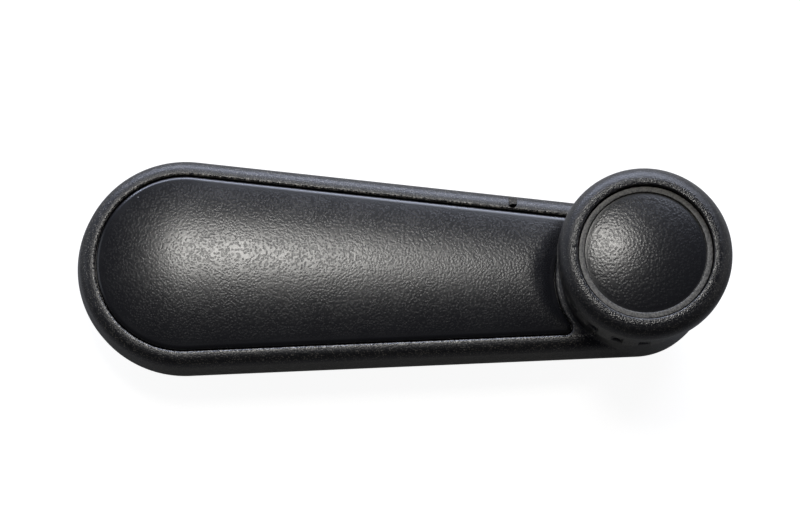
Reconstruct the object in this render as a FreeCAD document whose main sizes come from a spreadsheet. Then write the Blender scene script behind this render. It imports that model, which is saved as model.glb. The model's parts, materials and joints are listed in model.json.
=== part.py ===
"""Crank handle that winds a car's side window, built as the loose pieces it comes apart into.

Millimetres and degrees. The origin is the centre of the spindle socket's mouth, +Z runs along
the spindle axis towards the user and +X runs from the hub to the knob.
"""
import FreeCAD, Part
import Sketcher
import math
import os

# Every driving size of the handle. Heights are counted along Z from the socket's mouth,
# unless the name says what they are counted from.
SIZES = {
    # crank arm: outline, wall and rim
    "throw_length": 100.0,
    "hub_end_radius": 24.1,
    "knob_end_radius": 16.45,
    "rim_height": 20.0,
    "widest_drop": 6.7,
    "arm_depth": 10.0,
    "wall_draft": 9.0,
    "foot_draft": 4.0,
    "rim_round": 2.9,
    "rim_width": 4.2,
    "rim_lip_round": 0.5,
    "recess_depth": 2.8,
    "recess_corner_round": 1.6,
    "floor_thickness": 2.0,
    "side_wall": 2.6,
    "rib_thickness": 1.6,
    "rib_setback": 0.8,
    "first_rib_place": 22.0,
    "rib_pitch": 13.0,
    "rib_count": 6,
    # crank arm: hub boss and screw well
    "hub_boss_radius": 13.0,
    "hub_boss_round": 0.8,
    "well_radius": 6.6,
    # crank arm: knob boss
    "platform_width": 1.25,
    "knob_boss_height": 5.6,
    "knob_boss_draft": 1.5,
    "knob_boss_round": 0.9,
    "knob_boss_blend": 1.1,
    "knob_boss_wall": 2.6,
    "knob_boss_plate": 3.1,
    "pin_post_radius": 8.0,
    "pin_post_recess": 4.0,
    # crank arm: notch for prying the cover off
    "notch_place": 72.4,
    "notch_width": 1.9,
    "notch_land": 0.45,
    "notch_depth": 2.2,
    # cover
    "cover_gap": 0.3,
    "cover_edge_drop": 0.5,
    "crown_rise": 2.3,
    "cover_wall": 1.7,
    "cover_skin": 1.9,
    "cover_corner_round": 1.3,
    # snap legs under the cover, and their windows
    "leg_width": 4.0,
    "leg_thickness": 1.4,
    "leg_inset": 3.0,
    "hook_reach": 0.8,
    "hook_height": 1.5,
    "window_clearance": 0.25,
    # serrated insert
    "insert_flats": 17.0,
    "insert_length": 13.0,
    "insert_end_wall": 2.0,
    "pilot_radius": 5.1,
    "pilot_length": 3.0,
    "serration_tip_radius": 4.4,
    "serration_root_radius": 4.95,
    "serration_count": 20,
    # retaining screw and its washers
    "screw_radius": 2.5,
    "screw_length": 10.8,
    "screw_tip_bevel": 0.5,
    "screw_clearance": 0.2,
    "screw_head_radius": 4.75,
    "screw_head_height": 3.0,
    "screw_head_round": 1.2,
    "drive_reach": 2.3,
    "drive_width": 1.0,
    "drive_depth": 1.7,
    "plain_washer_radius": 5.6,
    "plain_washer_thickness": 1.0,
    "lock_washer_radius": 4.6,
    "lock_washer_thickness": 1.2,
    "lock_washer_split": 0.7,
    # knob
    "bead_centre_radius": 15.5,
    "bead_radius": 3.3,
    "bead_height": 45.8,
    "bead_side": 2.6,
    "bead_foot_round": 1.6,
    "knob_lift": 0.5,
    "skirt_foot_radius": 16.7,
    "skirt_neck_radius": 15.7,
    "skirt_foot_bevel": 0.35,
    "flute_count": 17,
    "flute_radius": 1.45,
    "flute_depth": 1.1,
    "cap_seat_radius": 14.65,
    "cap_seat_drop": 2.5,
    "knob_wall": 2.6,
    "knob_web": 2.6,
    "knob_hub_wall": 2.1,
    "knob_rib_count": 6,
    "knob_rib_thickness": 1.5,
    "knob_rib_height": 8.0,
    # knob cap
    "cap_clearance": 0.2,
    "cap_flange_thickness": 1.25,
    "cap_ring_width": 1.45,
    "cap_ring_step": 0.45,
    "cap_dome_rise": 1.3,
    "cap_skin": 1.5,
    "plug_wall": 1.3,
    "plug_length": 3.6,
    "snap_bead_reach": 0.25,
    "snap_bead_height": 0.9,
    # pivot of the knob
    "pin_radius": 3.5,
    "pin_running_clearance": 0.05,
    "bush_wall": 1.2,
    "bush_flange_reach": 1.8,
    "bush_flange_thickness": 0.8,
    "bush_length": 13.8,
    "axial_play": 0.15,
    "thrust_washer_thickness": 0.6,
    "thrust_washer_radius": 6.2,
    "spring_thickness": 0.4,
    "spring_bow": 0.7,
    "spring_radius": 6.0,
    "head_washer_thickness": 0.8,
    "head_washer_radius": 6.4,
    "pin_head_radius": 5.8,
    "pin_head_height": 2.0,
    "pin_head_round": 0.7,
    "spigot_radius": 2.5,
    "spigot_clearance": 0.05,
    "rivet_washer_thickness": 1.0,
    "rivet_washer_radius": 6.0,
    "rivet_head_radius": 4.3,
    "rivet_head_height": 1.5,
    "rivet_clearance": 0.6,
    # every cut runs this far past the face that it opens
    "overrun": 1.0,
}

# The crown of the cover: how far each level has come in from the edge, as a share of the
# cover's half width at the knob axis, and how far it has risen, as a share of the crown.
CROWN_SHARES = [(0.0, 0.0), (0.025, 0.22), (0.075, 0.42), (0.20, 0.64), (0.42, 0.84), (0.88, 1.0)]
# Places of the two pairs of snap legs, as shares of the throw.
LEG_SHARES = [0.0, 0.545]
# Directions of the slanting ribs round the hub.
SLANT_RIB_ANGLES = [45, 135]

doc = FreeCAD.newDocument("window_winder")
sheet = doc.addObject("Spreadsheet::Sheet", "Sizes")
for row, (alias, number) in enumerate(SIZES.items(), start=1):
    sheet.set("A%d" % row, alias)
    sheet.set("B%d" % row, str(number))
    sheet.setAlias("B%d" % row, alias)
doc.recompute()


class Size:
    """A size as a number and as the sheet expression that gives it."""

    def __init__(self, value, text):
        self.value = float(value)
        self.text = text

    def joined(self, sign, other, value):
        other_text = other.text if isinstance(other, Size) else repr(other)
        return Size(value, "(%s %s %s)" % (self.text, sign, other_text))

    def __add__(self, other):
        return self.joined("+", other, self.value + number_of(other))

    def __sub__(self, other):
        return self.joined("-", other, self.value - number_of(other))

    def __mul__(self, other):
        return self.joined("*", other, self.value * number_of(other))

    def __truediv__(self, other):
        return self.joined("/", other, self.value / number_of(other))

    def __neg__(self):
        return Size(-self.value, "(-1 * %s)" % self.text)


def number_of(size):
    return size.value if isinstance(size, Size) else float(size)


def cell(alias):
    return Size(SIZES[alias], "Sizes.%s" % alias)


ZERO = Size(0, "0")

# Heights and radii that several pieces share
throw = cell("throw_length")
overrun = cell("overrun")
rim_z = cell("rim_height")
widest_z = rim_z - cell("widest_drop")
back_z = rim_z - cell("arm_depth")
recess_z = rim_z - cell("recess_depth")
floor_back_z = recess_z - cell("floor_thickness")
knob_boss_z = rim_z + cell("knob_boss_height")
post_back_z = back_z + cell("pin_post_recess")
recess_hub_radius = cell("hub_end_radius") - cell("rim_width")
recess_knob_radius = cell("knob_end_radius") - cell("rim_width")
recess_end_radius = cell("knob_end_radius") + cell("platform_width")
cover_hub_radius = recess_hub_radius - cell("cover_gap")
cover_knob_radius = recess_knob_radius - cell("cover_gap")
cover_end_radius = recess_end_radius + cell("cover_gap")
cover_edge_z = rim_z - cell("cover_edge_drop")
cover_hollow_z = cover_edge_z + cell("crown_rise") - cell("cover_skin") - cell("cover_edge_drop")
insert_z = cell("insert_length")
plain_washer_z = insert_z + cell("plain_washer_thickness")
lock_washer_z = plain_washer_z + cell("lock_washer_thickness")
screw_hole_radius = cell("screw_radius") + cell("screw_clearance")
knob_foot_z = knob_boss_z + cell("knob_lift")
cap_seat_z = cell("bead_height") + cell("bead_radius") - cell("cap_seat_drop")
neck_z = cell("bead_height") - cell("bead_side") - cell("bead_foot_round")
knob_web_z = knob_foot_z + cell("knob_web")
cavity_radius = cell("skirt_neck_radius") - cell("knob_wall")
thrust_z = knob_boss_z + cell("thrust_washer_thickness")
bush_foot_z = thrust_z + cell("axial_play")
bush_flange_z = bush_foot_z + cell("bush_flange_thickness")
bush_bore_radius = cell("pin_radius") + cell("pin_running_clearance")
bush_radius = bush_bore_radius + cell("bush_wall")
bush_flange_radius = bush_radius + cell("bush_flange_reach")
bush_top_z = bush_foot_z + cell("bush_length")
knob_hub_radius = bush_radius + cell("knob_hub_wall")
spring_foot_z = bush_top_z + cell("axial_play")
spring_top_z = spring_foot_z + cell("spring_bow") + cell("spring_thickness")
head_washer_top_z = spring_top_z + cell("head_washer_thickness")
plug_radius = cavity_radius - cell("cap_clearance") / 2
rivet_washer_z = post_back_z - cell("rivet_washer_thickness")
rivet_end_z = rivet_washer_z - cell("rivet_head_height")
notch_y = recess_hub_radius + (recess_knob_radius - recess_hub_radius) * cell("notch_place") / throw


def bind(item, prop, size):
    """Tie a property of an object to the sheet."""
    item.setExpression(prop, size.text)


def new_body(name):
    body = doc.addObject("PartDesign::Body", name)
    body.Label = name
    return body


def origin_item(body, role):
    return [item for item in body.Origin.OriginFeatures if item.Role == role][0]


def new_sketch(body, name, role="XY_Plane", offset=None):
    sketch = body.newObject("Sketcher::SketchObject", name)
    sketch.AttachmentSupport = [(origin_item(body, role), "")]
    sketch.MapMode = "FlatFace"
    if offset is not None:
        bind(sketch, "AttachmentOffset.Base.z", offset)
    return sketch


def constrain(sketch, kind, *terms):
    """Add a constraint whose last term is a Size, and tie it to the sheet."""
    size = terms[-1]
    index = sketch.addConstraint(Sketcher.Constraint(kind, *terms[:-1], size.value))
    bind(sketch, "Constraints[%d]" % index, size)


def fix_point(sketch, edge, end, across, up):
    constrain(sketch, "DistanceX", -1, 1, edge, end, across)
    constrain(sketch, "DistanceY", -1, 1, edge, end, up)


def add_circle(sketch, radius, across=ZERO, up=ZERO):
    centre = FreeCAD.Vector(across.value, up.value, 0)
    edge = sketch.addGeometry(Part.Circle(centre, FreeCAD.Vector(0, 0, 1), radius.value))
    fix_point(sketch, edge, 3, across, up)
    constrain(sketch, "Radius", edge, radius)
    return edge


def arc_between(start, end, radius, turn):
    """The short arc from start to end; turn is 1 for anticlockwise and -1 for clockwise."""
    chord = end - start
    half = chord.Length / 2
    rise = math.sqrt(max(radius * radius - half * half, 0))
    side = FreeCAD.Vector(-chord.y, chord.x, 0).normalize() * (rise * turn)
    centre = start + chord / 2 + side
    first = math.atan2(start.y - centre.y, start.x - centre.x)
    last = math.atan2(end.y - centre.y, end.x - centre.x)
    if turn < 0:
        first, last = last, first
    return Part.ArcOfCircle(Part.Circle(centre, FreeCAD.Vector(0, 0, 1), radius), first, last)


def add_profile(sketch, corners):
    """A closed outline. A corner is (across, up), or (across, up, radius, turn) where the
    side that leaves it is an arc."""
    places = [FreeCAD.Vector(corner[0].value, corner[1].value, 0) for corner in corners]
    starts = []
    ends = []
    for index, corner in enumerate(corners):
        start = places[index]
        end = places[(index + 1) % len(places)]
        if len(corner) == 2:
            edge = sketch.addGeometry(Part.LineSegment(start, end))
            first, last = 1, 2
        else:
            edge = sketch.addGeometry(arc_between(start, end, corner[2].value, corner[3]))
            constrain(sketch, "Radius", edge, corner[2])
            first, last = (1, 2) if corner[3] > 0 else (2, 1)
        starts.append((edge, first))
        ends.append((edge, last))
    for index, corner in enumerate(corners):
        edge, first = starts[index]
        before, last = ends[index - 1]
        sketch.addConstraint(Sketcher.Constraint("Coincident", before, last, edge, first))
        fix_point(sketch, edge, first, corner[0], corner[1])


def add_rectangle(sketch, left, low, right, high):
    add_profile(sketch, [(left, low), (right, low), (right, high), (left, high)])


def tangent_angle(hub_radius, knob_radius):
    return math.acos((hub_radius.value - knob_radius.value) / throw.value)


def add_teardrop(sketch, hub_radius, knob_radius):
    """Outline round a circle at the hub and a circle at the knob, joined by their tangents."""
    up = FreeCAD.Vector(0, 0, 1)
    hub_centre = FreeCAD.Vector(0, 0, 0)
    knob_centre = FreeCAD.Vector(throw.value, 0, 0)
    angle = tangent_angle(hub_radius, knob_radius)
    hub_circle = Part.Circle(hub_centre, up, hub_radius.value)
    knob_circle = Part.Circle(knob_centre, up, knob_radius.value)
    hub = sketch.addGeometry(Part.ArcOfCircle(hub_circle, angle, 2 * math.pi - angle))
    knob = sketch.addGeometry(Part.ArcOfCircle(knob_circle, -angle, angle))
    upper = sketch.addGeometry(Part.LineSegment(knob_circle.value(angle), hub_circle.value(angle)))
    lower = sketch.addGeometry(Part.LineSegment(hub_circle.value(-angle), knob_circle.value(-angle)))
    for one, other in ((knob, upper), (upper, hub), (hub, lower), (lower, knob)):
        sketch.addConstraint(Sketcher.Constraint("Tangent", one, 2, other, 1))
    fix_point(sketch, hub, 3, ZERO, ZERO)
    fix_point(sketch, knob, 3, throw, ZERO)
    constrain(sketch, "Radius", hub, hub_radius)
    constrain(sketch, "Radius", knob, knob_radius)


def add_bitten_teardrop(sketch, hub_radius, knob_radius, end_radius):
    """A teardrop that stops short of the knob, at a circle round the knob's axis."""
    up = FreeCAD.Vector(0, 0, 1)
    hub_centre = FreeCAD.Vector(0, 0, 0)
    knob_centre = FreeCAD.Vector(throw.value, 0, 0)
    angle = tangent_angle(hub_radius, knob_radius)
    hub_circle = Part.Circle(hub_centre, up, hub_radius.value)
    knob_circle = Part.Circle(knob_centre, up, knob_radius.value)
    end_circle = Part.Circle(knob_centre, up, end_radius.value)
    bite = angle + math.acos(knob_radius.value / end_radius.value)
    hub = sketch.addGeometry(Part.ArcOfCircle(hub_circle, angle, 2 * math.pi - angle))
    lower = sketch.addGeometry(Part.LineSegment(hub_circle.value(-angle), end_circle.value(-bite)))
    end = sketch.addGeometry(Part.ArcOfCircle(end_circle, bite, 2 * math.pi - bite))
    upper = sketch.addGeometry(Part.LineSegment(end_circle.value(bite), hub_circle.value(angle)))
    guide = sketch.addGeometry(knob_circle, True)
    for one, other in ((hub, lower), (upper, hub)):
        sketch.addConstraint(Sketcher.Constraint("Tangent", one, 2, other, 1))
    sketch.addConstraint(Sketcher.Constraint("Coincident", lower, 2, end, 2))
    sketch.addConstraint(Sketcher.Constraint("Coincident", end, 1, upper, 1))
    sketch.addConstraint(Sketcher.Constraint("Tangent", lower, guide))
    sketch.addConstraint(Sketcher.Constraint("Tangent", upper, guide))
    fix_point(sketch, hub, 3, ZERO, ZERO)
    fix_point(sketch, end, 3, throw, ZERO)
    fix_point(sketch, guide, 3, throw, ZERO)
    constrain(sketch, "Radius", hub, hub_radius)
    constrain(sketch, "Radius", end, end_radius)
    constrain(sketch, "Radius", guide, knob_radius)


def check_change(body, before, grows, name):
    """Stop if a feature failed, or if it changed the solid the wrong way."""
    doc.recompute()
    change = body.Shape.Volume - before
    if not body.Shape.isValid() or change == 0 or (change > 0) != grows:
        raise RuntimeError("%s of %s changed the volume by %.3f" % (name, body.Label, change))


def pad(body, sketch, length, name, down=False, draft=None):
    before = body.Shape.Volume if body.Tip else 0
    feature = body.newObject("PartDesign::Pad", name)
    feature.Profile = sketch
    bind(feature, "Length", length)
    feature.Reversed = down
    if draft is not None:
        bind(feature, "TaperAngle", -draft)
    check_change(body, before, True, name)
    return feature


def pocket(body, sketch, length, name, up=False):
    """Cut down from the sketch, or up from it."""
    before = body.Shape.Volume
    feature = body.newObject("PartDesign::Pocket", name)
    feature.Profile = sketch
    bind(feature, "Length", length)
    feature.Reversed = up
    check_change(body, before, False, name)
    return feature


def revolve(body, sketch, name):
    before = body.Shape.Volume if body.Tip else 0
    feature = body.newObject("PartDesign::Revolution", name)
    feature.Profile = sketch
    feature.ReferenceAxis = (sketch, ["V_Axis"])
    check_change(body, before, True, name)
    return feature


def groove(body, sketch, name):
    before = body.Shape.Volume
    feature = body.newObject("PartDesign::Groove", name)
    feature.Profile = sketch
    feature.ReferenceAxis = (sketch, ["V_Axis"])
    check_change(body, before, False, name)
    return feature


def loft(body, sketches, name):
    before = body.Shape.Volume
    feature = body.newObject("PartDesign::AdditiveLoft", name)
    feature.Profile = sketches[0]
    feature.Sections = sketches[1:]
    check_change(body, before, True, name)
    return feature


def polar(body, feature, count, grows, name):
    before = body.Shape.Volume
    pattern = body.newObject("PartDesign::PolarPattern", name)
    pattern.Originals = [feature]
    pattern.Axis = (origin_item(body, "Z_Axis"), [""])
    pattern.Angle = 360
    bind(pattern, "Occurrences", count)
    body.Tip = pattern
    check_change(body, before, grows, name)
    return pattern


def mirror(body, feature, grows, name):
    before = body.Shape.Volume
    pattern = body.newObject("PartDesign::Mirrored", name)
    pattern.Originals = [feature]
    pattern.MirrorPlane = (origin_item(body, "XZ_Plane"), [""])
    body.Tip = pattern
    check_change(body, before, grows, name)
    return pattern


def edges_where(body, test):
    """Names of the edges of a body whose middle point and curve pass a test."""
    names = []
    for index, edge in enumerate(body.Shape.Edges, start=1):
        middle = edge.valueAt((edge.FirstParameter + edge.LastParameter) / 2)
        if test(middle, edge):
            names.append("Edge%d" % index)
    return names


def fillet(body, test, radius, name):
    base = body.Tip
    names = edges_where(body, test)
    feature = body.newObject("PartDesign::Fillet", name)
    feature.Base = (base, names)
    bind(feature, "Radius", radius)
    doc.recompute()
    if not names or "Invalid" in feature.State or not body.Shape.isValid():
        raise RuntimeError("%s of %s failed" % (name, body.Label))
    return feature


def near(one, other, slack=0.01):
    return abs(one - other) < slack


def make_tool(kind, name, sizes, place=None, turn=None):
    """A Part primitive with its sizes and its place tied to the sheet."""
    item = doc.addObject(kind, name)
    if turn is not None:
        item.Placement = FreeCAD.Placement(FreeCAD.Vector(), turn)
    for prop, size in sizes.items():
        bind(item, prop, size)
    for axis, size in zip("xyz", place or ()):
        bind(item, "Placement.Base." + axis, size)
    return item


def join(kind, name, **links):
    item = doc.addObject(kind, name)
    item.Label = name
    for prop, link in links.items():
        setattr(item, prop, link)
    doc.recompute()
    return item


# Crank arm

def make_arm_form():
    """The moulding from outside: drafted wall, rounded rim, bosses, recess, well and holes."""
    body = new_body("arm_form")
    outline = new_sketch(body, "arm_outline", offset=widest_z)
    add_teardrop(outline, cell("hub_end_radius"), cell("knob_end_radius"))
    pad(body, outline, cell("widest_drop"), "arm_wall", draft=cell("wall_draft"))
    top = rim_z.value
    fillet(body, lambda middle, edge: near(middle.z, top), cell("rim_round"), "rim_rounding")
    knob_boss = new_sketch(body, "knob_boss_circle", offset=widest_z)
    add_circle(knob_boss, cell("knob_end_radius"), throw)
    pad(body, knob_boss, knob_boss_z - widest_z, "knob_boss", draft=cell("knob_boss_draft"))
    blend_knob_boss(body)
    boss_top = knob_boss_z.value
    fillet(body, lambda middle, edge: near(middle.z, boss_top), cell("knob_boss_round"),
           "knob_boss_rounding")
    foot = new_sketch(body, "arm_foot_outline", offset=widest_z)
    add_teardrop(foot, cell("hub_end_radius"), cell("knob_end_radius"))
    pad(body, foot, widest_z - back_z, "arm_foot", down=True, draft=cell("foot_draft"))
    hub_boss = new_sketch(body, "hub_boss_circle")
    add_circle(hub_boss, cell("hub_boss_radius"))
    pad(body, hub_boss, recess_z, "hub_boss")
    fillet(body, lambda middle, edge: near(middle.z, 0), cell("hub_boss_round"), "hub_boss_rounding")
    recess = new_sketch(body, "recess_outline", offset=rim_z + overrun)
    add_bitten_teardrop(recess, recess_hub_radius, recess_knob_radius, recess_end_radius)
    pocket(body, recess, cell("recess_depth") + overrun, "cover_recess")
    cut_corners(body, recess_hub_radius, recess_knob_radius, recess_end_radius,
                cell("recess_corner_round"), "recess_corners")
    round_rim_lip(body)
    well = new_sketch(body, "screw_well_circle", offset=rim_z)
    add_circle(well, cell("well_radius"))
    pocket(body, well, rim_z - insert_z, "screw_well")
    add_hex_pocket(body)
    pin_hole = new_sketch(body, "pin_hole_circle", offset=knob_boss_z + overrun)
    add_circle(pin_hole, cell("spigot_radius") + cell("spigot_clearance"), throw)
    pocket(body, pin_hole, knob_boss_z + overrun, "pin_hole")
    add_windows(body)
    add_notch(body)
    return body


def blend_knob_boss(body):
    """Run the foot of the knob boss smoothly into the rim."""
    top = rim_z.value

    def is_boss_foot(middle, edge):
        from_axis = math.hypot(middle.x - throw.value, middle.y)
        on_side = near(from_axis, cell("knob_end_radius").value, cell("rim_lip_round").value)
        return near(middle.z, top) and on_side and isinstance(edge.Curve, Part.Circle)

    fillet(body, is_boss_foot, cell("knob_boss_blend"), "knob_boss_blend")


def cut_corners(body, hub_radius, knob_radius, end_radius, rounding, name):
    """Round the upright corners where the outline meets the arc round the knob."""
    bite = tangent_angle(hub_radius, knob_radius) + math.acos(knob_radius.value / end_radius.value)
    corner_x = throw.value + end_radius.value * math.cos(bite)
    corner_y = end_radius.value * math.sin(bite)

    def is_corner(middle, edge):
        upright = isinstance(edge.Curve, Part.Line) and near(abs(edge.Curve.Direction.z), 1)
        return upright and near(middle.x, corner_x) and near(abs(middle.y), corner_y)

    fillet(body, is_corner, rounding, name)


def round_rim_lip(body):
    """Ease the rim's inner edge along the recess."""
    top = rim_z.value
    radius = recess_hub_radius.value
    angle = tangent_angle(recess_hub_radius, recess_knob_radius)

    def is_lip(middle, edge):
        if not near(middle.z, top) or middle.x > throw.value - recess_end_radius.value:
            return False
        on_arc = near(math.hypot(middle.x, middle.y), radius)
        along = middle.x * math.cos(angle) + abs(middle.y) * math.sin(angle)
        return on_arc or near(along, radius)

    fillet(body, is_lip, cell("rim_lip_round"), "rim_lip")


def add_hexagon(sketch, flats):
    """A hexagon with two flats square to the Y axis."""
    angle = math.radians(60)
    corner = flats.value / 2 / math.cos(angle / 2)
    places = [FreeCAD.Vector(corner * math.cos(angle * step), corner * math.sin(angle * step), 0)
              for step in range(6)]
    sides = [sketch.addGeometry(Part.LineSegment(places[step], places[(step + 1) % 6]))
             for step in range(6)]
    circle = sketch.addGeometry(Part.Circle(FreeCAD.Vector(), FreeCAD.Vector(0, 0, 1), corner), True)
    for step, side in enumerate(sides):
        sketch.addConstraint(Sketcher.Constraint("Coincident", side, 2, sides[(step + 1) % 6], 1))
        sketch.addConstraint(Sketcher.Constraint("PointOnObject", side, 1, circle))
        if step:
            sketch.addConstraint(Sketcher.Constraint("Equal", sides[0], side))
    sketch.addConstraint(Sketcher.Constraint("Coincident", circle, 3, -1, 1))
    sketch.addConstraint(Sketcher.Constraint("Horizontal", sides[1]))
    constrain(sketch, "DistanceY", -1, 1, sides[1], 1, flats / 2)


def add_hex_pocket(body):
    """The hexagonal seat that stops the insert from turning."""
    sketch = new_sketch(body, "insert_seat_outline")
    add_hexagon(sketch, cell("insert_flats"))
    pocket(body, sketch, insert_z, "insert_seat", up=True)


def leg_places():
    """Where the upper leg of each pair stands: its station and the height of its outer face."""
    for share in LEG_SHARES:
        half_width = cover_hub_radius + (cover_knob_radius - cover_hub_radius) * share
        yield throw * share, half_width - cell("leg_inset")


def add_windows(body):
    """Windows through the recess floor for the snap legs."""
    for step, (station, outer) in enumerate(leg_places()):
        sketch = new_sketch(body, "window_outline_%d" % step, offset=recess_z + overrun)
        half = cell("leg_width") / 2 + cell("window_clearance")
        inner = outer - cell("leg_thickness") - cell("window_clearance")
        add_rectangle(sketch, station - half, inner, station + half, outer + cell("window_clearance"))
        cut = pocket(body, sketch, cell("floor_thickness") + overrun + cell("widest_drop"),
                     "window_%d" % step)
        mirror(body, cut, False, "window_pair_%d" % step)


def add_notch(body):
    """A narrow notch from the rim's outer side to a round end by the recess, for a blade."""
    sketch = new_sketch(body, "notch_outline", offset=rim_z + overrun)
    middle = cell("notch_place")
    half = cell("notch_width") / 2
    end = notch_y + cell("notch_land")
    high = end + cell("rim_width") + overrun
    add_profile(sketch, [(middle + half, high), (middle - half, high),
                         (middle - half, end + half, half, 1), (middle, end, half, 1),
                         (middle + half, end + half)])
    pocket(body, sketch, cell("notch_depth") + overrun, "pry_notch")


def make_crank_arm():
    """The moulding with its open back: cells between ribs, hub boss and pin post."""
    form = make_arm_form()
    hollow = new_body("arm_hollow")
    inner = new_sketch(hollow, "hollow_outline", offset=back_z - overrun)
    wall = cell("side_wall")
    add_teardrop(inner, cell("hub_end_radius") - wall, cell("knob_end_radius") - wall)
    pad(hollow, inner, floor_back_z - back_z + overrun, "hollow_pad")
    core = new_sketch(hollow, "knob_boss_core", offset=back_z - overrun)
    add_circle(core, cell("knob_end_radius") - cell("knob_boss_wall"), throw)
    core_top = knob_boss_z - cell("knob_boss_plate")
    pad(hollow, core, core_top - back_z + overrun, "core_pad")
    rib_foot = back_z + cell("rib_setback")
    thick = cell("rib_thickness")
    reach = cell("hub_end_radius") * 2
    tall = core_top - rib_foot
    spine = {"Length": reach + throw, "Width": thick, "Height": tall}
    tools = [make_tool("Part::Box", "spine_rib", spine, (-reach, -thick / 2, rib_foot))]
    cross = {"Length": thick, "Width": reach * 2, "Height": tall}
    for step in range(SIZES["rib_count"]):
        station = cell("first_rib_place") + cell("rib_pitch") * step - thick / 2
        tools.append(make_tool("Part::Box", "cross_rib_%d" % step, cross, (station, -reach, rib_foot)))
    slant = {"Length": reach, "Width": thick, "Height": tall}
    for angle in SLANT_RIB_ANGLES + [angle + 180 for angle in SLANT_RIB_ANGLES]:
        turn = FreeCAD.Rotation(FreeCAD.Vector(0, 0, 1), angle)
        shift = turn.multVec(FreeCAD.Vector(0, -1, 0))
        place = (thick / 2 * shift.x, thick / 2 * shift.y, rib_foot)
        tools.append(make_tool("Part::Box", "slant_rib_%d" % angle, slant, place, turn))
    hub = {"Radius": cell("hub_boss_radius"), "Height": recess_z}
    tools.append(make_tool("Part::Cylinder", "hub_core", hub, (ZERO, ZERO, ZERO)))
    post = {"Radius": cell("pin_post_radius"), "Height": knob_boss_z - post_back_z}
    tools.append(make_tool("Part::Cylinder", "pin_post", post, (throw, ZERO, post_back_z)))
    ribs = join("Part::MultiFuse", "ribs_and_posts", Shapes=tools)
    cells = join("Part::Cut", "open_cells", Base=hollow, Tool=ribs)
    rivet_room = {"Radius": cell("rivet_washer_radius") + cell("rivet_clearance"),
                  "Height": post_back_z - back_z + overrun}
    pocket_tool = make_tool("Part::Cylinder", "rivet_pocket", rivet_room, (throw, ZERO, back_z - overrun))
    hollows = join("Part::MultiFuse", "open_back", Shapes=[cells, pocket_tool])
    return join("Part::Cut", "crank_arm", Base=form, Tool=hollows)


# Cover

def make_cover_form():
    """Crowned skin, side wall that stands on the recess floor, and snap legs."""
    body = new_body("cover_form")
    outline = new_sketch(body, "cover_outline", offset=recess_z)
    add_teardrop(outline, cover_hub_radius, cover_knob_radius)
    pad(body, outline, cover_edge_z - recess_z, "cover_wall_pad")
    levels = []
    for step, (inset_share, rise_share) in enumerate(CROWN_SHARES):
        height = cover_edge_z + cell("crown_rise") * rise_share
        level = new_sketch(body, "crown_level_%d" % step, offset=height)
        inset = cover_knob_radius * inset_share
        add_teardrop(level, cover_hub_radius - inset, cover_knob_radius - inset)
        levels.append(level)
    loft(body, levels, "crown")
    wall = cell("cover_wall")
    hollow = new_sketch(body, "cover_hollow_outline", offset=recess_z)
    add_bitten_teardrop(hollow, cover_hub_radius - wall, cover_knob_radius - wall,
                        cover_end_radius + wall)
    pocket(body, hollow, cover_hollow_z - recess_z, "cover_hollow", up=True)
    for step, (station, outer) in enumerate(leg_places()):
        add_leg(body, step, station, outer)
    return body


def make_arm_cover():
    """The pry-off cover, cut to the recess's plan with its hollow end round the knob."""
    form = make_cover_form()
    plan = new_body("cover_plan")
    outline = new_sketch(plan, "cover_plan_outline", offset=back_z)
    add_bitten_teardrop(outline, cover_hub_radius, cover_knob_radius, cover_end_radius)
    pad(plan, outline, cover_edge_z + cell("crown_rise") + overrun - back_z, "cover_plan_pad")
    cut_corners(plan, cover_hub_radius, cover_knob_radius, cover_end_radius,
                cell("cover_corner_round"), "cover_corners")
    return join("Part::Common", "arm_cover", Base=form, Tool=plan)


def add_leg(body, step, station, outer):
    """A snap leg whose hook catches under the recess floor, and its twin across the arm."""
    sketch = new_sketch(body, "leg_profile_%d" % step, "YZ_Plane", station - cell("leg_width") / 2)
    root = cover_hollow_z + cell("cover_skin") / 4
    inner = outer - cell("leg_thickness")
    catch = floor_back_z - cell("window_clearance") / 2
    tip = outer + cell("hook_reach")
    foot = catch - cell("hook_height")
    add_profile(sketch, [(inner, root), (inner, foot), (outer, foot), (tip, catch - cell("hook_reach") / 2),
                         (tip, catch), (outer, catch), (outer, root)])
    leg = pad(body, sketch, cell("leg_width"), "leg_%d" % step)
    mirror(body, leg, True, "leg_pair_%d" % step)


# Hub: insert, screw and washers

def make_spline_insert():
    """Hexagonal steel insert: plain pilot at the mouth, serrated bore, end wall for the screw."""
    body = new_body("spline_insert")
    outline = new_sketch(body, "insert_outline")
    add_hexagon(outline, cell("insert_flats"))
    pad(body, outline, insert_z, "insert_block")
    pilot = new_sketch(body, "pilot_circle")
    add_circle(pilot, cell("pilot_radius"))
    pocket(body, pilot, cell("pilot_length"), "pilot_bore", up=True)
    bore_length = insert_z - cell("insert_end_wall") - cell("pilot_length")
    bore = new_sketch(body, "serrated_bore_circle", offset=cell("pilot_length"))
    add_circle(bore, cell("serration_tip_radius"))
    pocket(body, bore, bore_length, "serrated_bore", up=True)
    hole = new_sketch(body, "screw_hole_circle", offset=cell("pilot_length"))
    add_circle(hole, screw_hole_radius)
    pocket(body, hole, insert_z, "screw_hole", up=True)
    tooth = new_sketch(body, "tooth_space", offset=cell("pilot_length"))
    depth = cell("serration_root_radius") - cell("serration_tip_radius")
    inner = cell("serration_tip_radius") - depth
    add_profile(tooth, [(inner, -depth), (cell("serration_root_radius"), ZERO), (inner, depth)])
    space = pocket(body, tooth, bore_length, "tooth_space_cut", up=True)
    polar(body, space, cell("serration_count"), False, "serration")
    return body


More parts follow.
